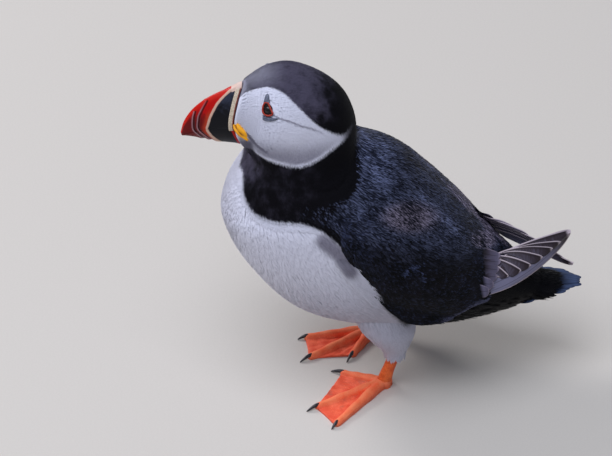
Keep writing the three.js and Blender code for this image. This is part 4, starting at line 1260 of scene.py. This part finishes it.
# A painted highlight along the culmen.
red = (attribute(wire, "culmen") + (grow_lines - 0.5) * 0.3).rise(0.3, 0.8).mix(red, HORN_HIGHLIGHT)
red = (base_side.rise(-3.4, -0.8) * attribute(wire, "low").rise(0.1, 0.6) * 0.85).mix(red, HORN_RUST)
slate = (mottle * 0.8 + attribute(wire, "high") * 0.55 - 0.3).rise(0.2, 0.8).mix(HORN_SLATE, HORN_SLATE_LIGHT)
horn = (base_side + (mottle - 0.5) * 0.4).rise(-0.2, 0.2).mix(red, slate)
cream = (attribute(wire, "cream") + (mottle - 0.5) * 0.4).rise(0.85, 0.35).mix(horn, HORN_CREAM)
pink = attribute(wire, "crest").rise(0.3, 0.7).mix(cream, HORN_PINK)
shadow = (attribute(wire, "cut").rise(0.75, 0.2) * 0.8).mix(pink, srgb(34, 8, 14))
lines = (attribute(wire, "groove").rise(0.45, 0.15) * attribute(wire, "low").rise(-0.2, 0.3) * 0.8).mix(shadow, srgb(166, 130, 136))
rear = attribute(wire, "rear").rise(0.75, 0.45).mix(lines, srgb(176, 16, 10))
bump = grow_lines.node("ShaderNodeBump", {}, {"Strength": 0.14, "Distance": 0.0004, "Height": grow_lines})
feed(shader, Base_Color=rear, Roughness=0.3 + mottle * 0.25, Normal=bump)
REAR_LINE = ((-74.4, 119.8), (-72.9, 116.8), (-71.4, 114.0), (-69.9, 111.5), (-68.4, 108.0))
for name, upper in (("bill_upper", True), ("bill_lower", False)):
    points, faces = mandible(upper)
    y, v = seen(points)
    culmen_v = np.interp(y, BILL[::-1, 0], BILL[::-1, 1]) * math.cos(LOOK_DOWN)
    side_line = curve(CREAM_RIDGE, False)
    slate_edge = np.interp(v, side_line[:8][::-1, 1], side_line[:8][::-1, 0])
    closed_slate = CREAM_RIDGE + ((-50.0, 110.0), (-50.0, 142.0))
    crest = step(culmen_v - v, 3.4, 2.2) * step(y, -74.6, -73.2) if upper else np.zeros(len(y))
    horn_piece = new_object(
        name + "_horn", points, faces, bill_horn,
        cream=from_line(CREAM_RIDGE, y, v), slate_side=from_line(closed_slate, y, v, True),
        groove=np.minimum(from_line(HIND_GROOVE, y, v), from_line(FORE_GROOVE, y, v)),
        cut=np.minimum(
            from_line(np.add(HIND_GROOVE, (0.85, 0.0)), y, v), from_line(np.add(FORE_GROOVE, (0.85, 0.0)), y, v)
        ),
        culmen=step(culmen_v - v, 4.5, 0.5) * (1.0 if upper else 0.0), crest=crest,
        low=step(v, 133.0, 119.0), high=step(v, 122.0, 136.0),
        rear=from_line(REAR_LINE, y, v) if not upper else np.full(len(y), 9.0),
    )
    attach(horn_piece, "root")
    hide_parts(name)

# ---------------------------------------------------------------------------------------------
# Rim at the bill's base: a raised band of cream, pitted skin over the upper mandible, with a thin
# red-brown line where it meets the face
# ---------------------------------------------------------------------------------------------
RIM_WIDTH, RIM_RISE, RIM_FOOT = 2.7, 0.7, 0.5


def rim_rows(angle, ahead):
    """The rows of the bill that lie so far ahead of the face's edge, found by halving."""
    low, high = np.zeros(np.shape(angle)), np.full(np.shape(angle), 3.5)
    for _ in range(24):
        middle = (low + high) / 2
        point = section_point(BILL, middle, angle)
        gone = np.interp(point[..., 2], edge_line[::-1, 1], edge_line[::-1, 0]) - point[..., 1] > ahead
        low, high = np.where(gone, low, middle), np.where(gone, middle, high)
    return low


swing, way = np.meshgrid(np.linspace(-1, 1, 180), np.linspace(0, TURN, 40, endpoint=False), indexing="ij")
outer_way = (1 - np.cos(way)) / 2
ahead = RIM_WIDTH * outer_way
angle = swing * 1.72
rows_at = rim_rows(angle, ahead)
on_bill = section_point(BILL, rows_at, angle)
middle_line = section_point(BILL, rows_at, angle * 0 + 0.0) * (0, 1, 0) + (0, 0, 152.0)
out = unit((on_bill - middle_line) * (1, 0, 1))
proud = np.where(np.sin(way) > 0, RIM_RISE * np.clip(np.sin(way), 0, 1) ** 0.6, -RIM_FOOT)
proud = np.where(np.sin(way) > 0, proud * step(1 - np.abs(swing), 0.0, 0.06), proud)
points, faces = shell(on_bill + out * proud[..., None])
cere_skin, shader, wire = finish("cere_skin", Roughness=0.55, Specular_IOR_Level=0.35)
pits = coordinates(wire).noise(1500.0, 3.0)
cream = pits.rise(0.3, 0.7).mix(srgb(184, 168, 146), srgb(226, 210, 188))
edge = (attribute(wire, "ahead") + (pits - 0.5) * 0.3).rise(0.85, 0.5).mix(cream, srgb(124, 58, 48))
top = attribute(wire, "top").rise(0.4, 0.8).mix(edge, srgb(216, 188, 176))
bump = pits.node("ShaderNodeBump", {}, {"Strength": 0.4, "Distance": 0.0003, "Height": pits})
feed(shader, Base_Color=top, Normal=bump)
rim_ahead = np.append(ahead.ravel(), (0.0, 0.0))
rim_top = np.append(step(np.abs(swing), 0.35, 0.12).ravel(), (0.0, 0.0))
cere = new_object("cere_rim", points, faces, cere_skin, ahead=rim_ahead, top=rim_top)
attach(cere, "root")
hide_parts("cere")

# ---------------------------------------------------------------------------------------------
# Rosettes: folds of bare orange skin at the corners of the mouth
# ---------------------------------------------------------------------------------------------
ROSETTE_AT, ROSETTE_SIZE = np.array((10.6, -68.9, 150.6)), np.array((2.2, 5.4, 2.7))
ROSETTE_DROOP, ROSETTE_SPLAY = 0.62, 0.5
polar, round_way = np.meshgrid(np.linspace(0.03, math.pi - 0.03, 70), np.linspace(0, TURN, 70, endpoint=False), indexing="ij")
ball = np.stack([np.sin(polar) * np.cos(round_way), np.cos(polar), np.sin(polar) * np.sin(round_way)], -1)
folds = 0.1 * np.cos(ball[..., 2] * 7.0 + 1.2) + 0.1 * np.cos(ball[..., 1] * 5.0 + 1.6) * np.cos(ball[..., 2] * 2.0)
creases = -0.22 * np.exp(-((ball[..., 2] - 0.12 + 0.25 * ball[..., 1]) / 0.14) ** 2) * step(ball[..., 1], 0.75, 0.2)
swollen = ball * ROSETTE_SIZE * (1 + folds + creases)[..., None]
c, s = math.cos(-ROSETTE_DROOP), math.sin(-ROSETTE_DROOP)
tilted = swollen @ np.array(((1, 0, 0), (0, c, s), (0, -s, c)))
c, s = math.cos(-ROSETTE_SPLAY), math.sin(-ROSETTE_SPLAY)
turned = tilted @ np.array(((c, s, 0), (-s, c, 0), (0, 0, 1)))
rosette_skin, shader, wire = finish("rosette_skin", Roughness=0.5, Specular_IOR_Level=0.4)
wrinkle = coordinates(wire).noise(1300.0, 3.0)
# Painted light and shade: the colour is lighter on the folds and darker in the creases.
painted_light = (wrinkle * 0.5 + attribute(wire, "fold") * 1.0).rise(0.1, 0.75)
feed(shader, Base_Color=painted_light.mix(srgb(156, 92, 4), srgb(240, 166, 10)))
fold = np.append((0.5 + 2.2 * (folds + creases)).ravel(), (0.3, 0.3))
for side, way_out in (("left", 1), ("right", -1)):
    points, faces = shell((turned + ROSETTE_AT) * (way_out, 1, 1))
    rosette = new_object(f"rosette_folds_{side}", points, faces, rosette_skin, fold=fold)
    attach(rosette, "root")
    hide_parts(f"rosette_{side}")

# ---------------------------------------------------------------------------------------------
# Eyes: dark glossy balls set deep behind a red ring of bare skin, with a horny blue-grey plate
# above, shaped as a triangle, and a longer one below
# ---------------------------------------------------------------------------------------------
EYE_SEEN_AT, EYE_RADIUS, EYE_PROUD = (-55.8, 128.2), 3.6, 0.36
# Outlines about the eye as [y, v]: the lids' opening and the two plates.
LID_OPENING = ((-56.6, 131.9), (-55.0, 131.6), (-53.9, 129.0), (-52.7, 126.4), (-54.2, 125.3), (-56.6, 125.7),
               (-57.7, 127.6), (-57.5, 130.0))
UPPER_PLATE = ((-56.2, 136.0), (-55.4, 136.4), (-54.7, 135.6), (-54.5, 133.6), (-54.6, 131.6), (-56.0, 131.3),
               (-57.4, 131.4), (-57.0, 133.6))
LOWER_PLATE = ((-57.8, 125.4), (-56.0, 124.6), (-53.4, 124.2), (-50.8, 123.9), (-50.4, 123.2), (-53.0, 122.4),
               (-56.2, 122.5), (-57.9, 123.4))


def on_head(y, v):
    """Places and normals of the head's left side that are seen at (y, v), by Newton's steps."""
    u, w = np.full(np.shape(y), 2.0), np.full(np.shape(y), 1.2)
    for _ in range(25):
        point = body.read(body.points, u, w)
        by_u, by_w = body.read(body.u_way, u, w), body.read(body.w_way, u, w)
        off_y, off_v = y - point[..., 1], v - (point[..., 2] * COS_DOWN - point[..., 0] * SIN_DOWN)
        uv, wv = by_u[..., 2] * COS_DOWN - by_u[..., 0] * SIN_DOWN, by_w[..., 2] * COS_DOWN - by_w[..., 0] * SIN_DOWN
        area = by_u[..., 1] * wv - by_w[..., 1] * uv
        area = np.where(np.abs(area) < 1.0, 1.0, area)
        u = u + np.clip((off_y * wv - by_w[..., 1] * off_v) / area, -0.3, 0.3)
        w = w + np.clip((by_u[..., 1] * off_v - off_y * uv) / area, -0.1, 0.1)
    return body.read(body.points, u, w), unit(body.read(body.normals, u, w))


COS_DOWN, SIN_DOWN = math.cos(LOOK_DOWN), math.sin(LOOK_DOWN)


def head_plate(outline, height):
    """A horny plate on the head: domed from its outline to its middle, with a sunk edge."""
    line = curve(outline, True, 10)[:-1]
    middle = line.mean(0)
    share = np.concatenate([[1.0, 1.0], np.linspace(1, 0, 14)[1:-1]])
    flat = middle + share[:, None, None] * (line - middle)
    points, normals = on_head(flat[..., 0], flat[..., 1])
    lift = height * np.sqrt(np.clip(1 - share ** 4, 0, 1)) + 0.05
    lift[0] = -0.7
    return shell(points + normals * lift[:, None, None])


def lid_ring(outline, thick, height):
    """A ring of bare skin round the opening: a small circle carried along the closed outline."""
    line = curve(outline, True, 14)[:-1]
    points, normals = on_head(line[:, 0], line[:, 1])
    heading = unit(np.roll(points, -1, 0) - np.roll(points, 1, 0))
    side = unit(np.cross(normals, heading))
    turn = np.linspace(0, TURN, 14, endpoint=False)
    rings = (points + normals * height)[:, None] + thick * (
        np.cos(turn)[None, :, None] * side[:, None] * 1.15 + np.sin(turn)[None, :, None] * normals[:, None]
    )
    rows, columns, _ = rings.shape
    index = np.arange(rows * columns).reshape(rows, columns)
    quads = np.stack([index, np.roll(index, -1, 1), np.roll(np.roll(index, -1, 0), -1, 1), np.roll(index, -1, 0)], -1)
    return rings.reshape(-1, 3), [quads.reshape(-1, 4)]


eye_glass, shader, wire = finish("eye_glass", Roughness=0.08, Specular_IOR_Level=0.45, Coat_Weight=0.3)
feed(shader, Base_Color=attribute(wire, "iris").rise(0.45, 0.6).mix(srgb(4, 4, 6), srgb(22, 18, 20)))
plate_horn, shader, wire = finish("plate_horn", Roughness=0.45, Specular_IOR_Level=0.4)
grain = coordinates(wire).noise(1600.0, 2.0)
feed(shader, Base_Color=grain.rise(0.3, 0.7).mix(srgb(62, 66, 82), srgb(110, 116, 136)))
lid_skin, shader, wire = finish("lid_skin", Roughness=0.45, Specular_IOR_Level=0.4)
feed(shader, Base_Color=coordinates(wire).noise(1800.0).rise(0.3, 0.7).mix(srgb(112, 22, 16), srgb(196, 62, 40)))
socket_skin, shader, wire = finish("socket_skin", Roughness=0.4, Specular_IOR_Level=0.3)
feed(shader, Base_Color=coordinates(wire).noise(1500.0).mix(srgb(10, 8, 9), srgb(34, 16, 16)))
polar, round_way = np.meshgrid(np.linspace(0.02, math.pi - 0.02, 60), np.linspace(0, TURN, 72, endpoint=False), indexing="ij")
ball = np.stack([np.cos(polar), np.sin(polar) * np.cos(round_way), np.sin(polar) * np.sin(round_way)], -1)
iris = np.append(np.sin(polar).ravel(), (0.0, 0.0))
lid_at, lid_out = on_head(*EYE_SEEN_AT)
eye_at = lid_at + lid_out * (EYE_PROUD - EYE_RADIUS)
for side, way_out in (("left", 1), ("right", -1)):
    points, faces = shell((ball * EYE_RADIUS + eye_at) * (way_out, 1, 1))
    eye = new_object(f"eyeball_{side}", points, faces, eye_glass, iris=iris)
    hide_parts(f"eye_{side}")
    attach(eye, "root")
    for name, (points, faces), material, slot in (
        ("lid_ring", lid_ring(LID_OPENING, 0.4, 0.38), lid_skin, "eye"),
        ("eye_socket", head_plate(LID_OPENING, 0.0), socket_skin, "eye"),
        ("upper_plate", head_plate(UPPER_PLATE, 0.75), plate_horn, "eye"),
        ("lower_plate", head_plate(LOWER_PLATE, 0.75), plate_horn, "eye"),
    ):
        if side == "right":
            points = points * (-1, 1, 1)
            faces = [group[:, ::-1] for group in faces]
        piece = new_object(f"{name}_{side}", points, faces, material)
        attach(piece, "root")

# ---------------------------------------------------------------------------------------------
# Shanks: short orange legs, scaled in front, from the feathered thigh to the foot
# ---------------------------------------------------------------------------------------------
TARSUS = np.array((
    (24.6, 9.9, 25.4, 2.4, 3.9), (24.2, 8.6, 18.0, 2.1, 3.2), (23.4, 6.2, 10.5, 2.2, 3.3), (22.6, 4.3, 3.6, 2.9, 3.9),
))
leg_skin, shader, wire = finish("leg_skin", Roughness=0.5, Specular_IOR_Level=0.4)
scales = coordinates(wire).node("ShaderNodeTexVoronoi", {"feature": "DISTANCE_TO_EDGE"}, {"Vector": coordinates(wire), "Scale": 800.0})
flush = coordinates(wire).noise(220.0, 3.0)
tone = (flush + scales * 0.5).rise(0.3, 0.8).mix(srgb(206, 70, 20), srgb(246, 116, 52))
bump = scales.node("ShaderNodeBump", {}, {"Strength": 0.5, "Distance": 0.0004, "Height": scales})
feed(shader, Base_Color=tone, Normal=bump)
for side in ("left", "right"):
    t, turn = np.meshgrid(np.linspace(0, 3, 90), np.linspace(0, TURN, 48, endpoint=False), indexing="ij")
    scutes = 0.12 * np.abs(np.sin(t * 16.0)) * step(np.cos(turn), -0.2, 0.6)
    points = leg_point(TARSUS, side, t, turn)
    middle = points.mean(1, keepdims=True)
    points, faces = shell(points + unit(points - middle) * scutes[..., None])
    shank = new_object(f"shank_{side}", points, faces, leg_skin)
    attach(shank, "root")
    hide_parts(f"tarsus_{side}")

# ---------------------------------------------------------------------------------------------
# Feet: three toes with a web between them, all one skin, flat on the floor; each toe ends in a
# curved dark claw. The bird has no hind toe.
# ---------------------------------------------------------------------------------------------
# Each toe: how far it is turned from straight ahead to the bird's left (degrees), its length, its claw.
TOES = {
    "left": {"inner": (-24.0, 22.0, 7.0), "middle": (31.0, 38.5, 7.0), "outer": (56.0, 42.0, 5.0)},
    "right": {"inner": (64.0, 23.0, 7.0), "middle": (36.0, 39.0, 7.0), "outer": (10.0, 34.0, 5.0)},
}
TOE_RADIUS = (2.9, 1.7)
TOE_HEIGHT = (2.32, 1.28)
WEB_THICK = 1.1
FOOT_ROUND, FOOT_RINGS = 400, 50


def heading(degrees):
    """The way on the floor that is turned so far from straight ahead to the bird's left."""
    return np.array((math.sin(math.radians(degrees)), -math.cos(math.radians(degrees))))


def foot_relief(x, y, toes):
    """Height of the foot's upper skin over the floor and how much it is toe rather than web.

    x and y are from the heel. A toe is a round bar that thins and sinks to its end, with swollen
    joints; the web between is a thin sheet, creased across and along.
    """
    height, is_toe = np.full(np.shape(x), -1.0), np.zeros(np.shape(x))
    tips = [heading(turn) * length for turn, length, _ in toes.values()]
    for number, tip in enumerate(tips):
        length = np.linalg.norm(tip)
        f = np.clip((x * tip[0] + y * tip[1]) / length ** 2, -0.06, 1)
        off = np.hypot(x - f * tip[0], y - f * tip[1])
        joints = 1 + 0.07 * np.cos(f * TURN * 3.0)
        radius = (TOE_RADIUS[0] + (TOE_RADIUS[1] - TOE_RADIUS[0]) * f) * joints
        middle = TOE_HEIGHT[0] + (TOE_HEIGHT[1] - TOE_HEIGHT[0]) * f
        bar = np.where(off < radius, middle + np.sqrt(np.clip(radius ** 2 - off ** 2, 0, None)), -1.0)
        height = np.maximum(height, bar)
        is_toe = np.maximum(is_toe, step(radius - off, -0.6, 0.5))
    angle, reach = np.arctan2(x, -y), np.hypot(x, y)
    bounds = [(math.atan2(tip[0], -tip[1]), np.linalg.norm(tip)) for tip in tips]
    web = np.full(np.shape(x), -1.0)
    for (turn_a, long_a), (turn_b, long_b) in zip(bounds[:-1], bounds[1:]):
        f = (angle - turn_a) / (turn_b - turn_a)
        chord = long_a * long_b * math.sin(abs(turn_b - turn_a)) / np.maximum(
            long_a * np.sin(np.abs(angle - turn_a)) + long_b * np.sin(np.abs(turn_b - angle)), 1e-6
        )
        limit = chord * (1.04 - 0.01 * np.sin(math.pi * np.clip(f, 0, 1)))
        creases = 0.16 * np.sin(angle * 46.0 + reach * 0.12) * step(reach, 6.0, 18.0)
        creases = creases + 0.14 * np.sin(reach * 0.95 + 2.0 * np.sin(angle * 7.0))
        sheet = WEB_THICK + creases + 0.9 * step(reach, 16.0, 4.0)
        web = np.where((f >= 0) & (f <= 1) & (reach < limit), sheet, web)
    return np.maximum(height, web), is_toe


foot_skin, shader, wire = finish("foot_skin", Roughness=0.55, Specular_IOR_Level=0.35)
cells = coordinates(wire).node("ShaderNodeTexVoronoi", {"feature": "DISTANCE_TO_EDGE"}, {"Vector": coordinates(wire), "Scale": 1000.0})
flush = coordinates(wire).noise(160.0, 3.0)
web_tone = (flush + cells * 0.4).rise(0.35, 0.85).mix(srgb(232, 84, 54), srgb(255, 118, 82))
toe_tone = (flush + cells * 0.4).rise(0.3, 0.8).mix(srgb(250, 104, 62), srgb(255, 138, 92))
bump = cells.node("ShaderNodeBump", {}, {"Strength": 0.45, "Distance": 0.0004, "Height": cells})
smudge = coordinates(wire).noise(90.0, 4.0).rise(0.56, 0.72) * (1 - attribute(wire, "toe")) * 0.55
soiled = smudge.mix(attribute(wire, "toe").mix(web_tone, toe_tone), srgb(112, 78, 66))
feed(shader, Base_Color=soiled, Normal=bump)
claw_horn, shader, wire = finish("claw_horn", Specular_IOR_Level=0.5)
wear = coordinates(wire).noise(900.0, 2.0)
feed(shader, Base_Color=wear.rise(0.35, 0.7).mix(srgb(22, 20, 24), srgb(58, 54, 60)), Roughness=0.28 + wear * 0.2)
for side in ("left", "right"):
    toes = TOES[side]
    if side == "right":
        toes = dict(reversed(list(toes.items())))
    turn = np.linspace(0, TURN, FOOT_ROUND, endpoint=False)
    reach = np.linspace(0.5, 50.0, 400)
    far_x, far_y = np.sin(turn)[:, None] * reach, -np.cos(turn)[:, None] * reach
    inside = foot_relief(far_x, far_y, toes)[0] > 0
    limit = reach[len(reach) - 1 - np.argmax(inside[:, ::-1], axis=1)]
    share = np.linspace(0.02, 1, FOOT_RINGS)[:, None]
    x, y = np.sin(turn) * limit * share, -np.cos(turn) * limit * share
    height, is_toe = foot_relief(x, y, toes)
    height = np.maximum(height, 0.5)
    top_rings = np.stack([x, y, height], -1)
    rings = np.concatenate([top_rings, top_rings[-1:] * (1, 1, 0)]) + HEEL[side]
    points, faces = shell(rings)
    toe = np.concatenate([is_toe, is_toe[-1:]]).ravel()
    foot = new_object(f"webbed_foot_{side}", points, faces, foot_skin, toe=np.append(toe, (1.0, 0.0)))
    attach(foot, "root")
    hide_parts(f"foot_{side}")
    for toe_name, (turned_by, length, claw) in TOES[side].items():
        way = heading(turned_by)
        t, round_way = np.meshgrid(np.linspace(0, 1, 30), np.linspace(0, TURN, 24, endpoint=False), indexing="ij")
        radius = 1.1 * (1 - t) ** 0.6 + 0.2
        ahead = length - 0.6 + t * (claw + 0.8)
        lift = 1.3 * (1 - t) + 0.4 + 0.8 * np.sin(math.pi * t ** 0.8)
        aside = radius * np.sin(round_way) * 0.85
        across = np.array((-way[1], way[0]))
        places = way * ahead[..., None] + across * aside[..., None]
        up = np.maximum(lift + radius * np.cos(round_way), 0.12)
        points, faces = shell(np.concatenate([places, up[..., None]], -1) + HEEL[side])
        nail = new_object(f"claw_horn_{toe_name}_{side}", points, faces, claw_horn)
        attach(nail, "root")
        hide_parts(f"claw_{toe_name}_{side}")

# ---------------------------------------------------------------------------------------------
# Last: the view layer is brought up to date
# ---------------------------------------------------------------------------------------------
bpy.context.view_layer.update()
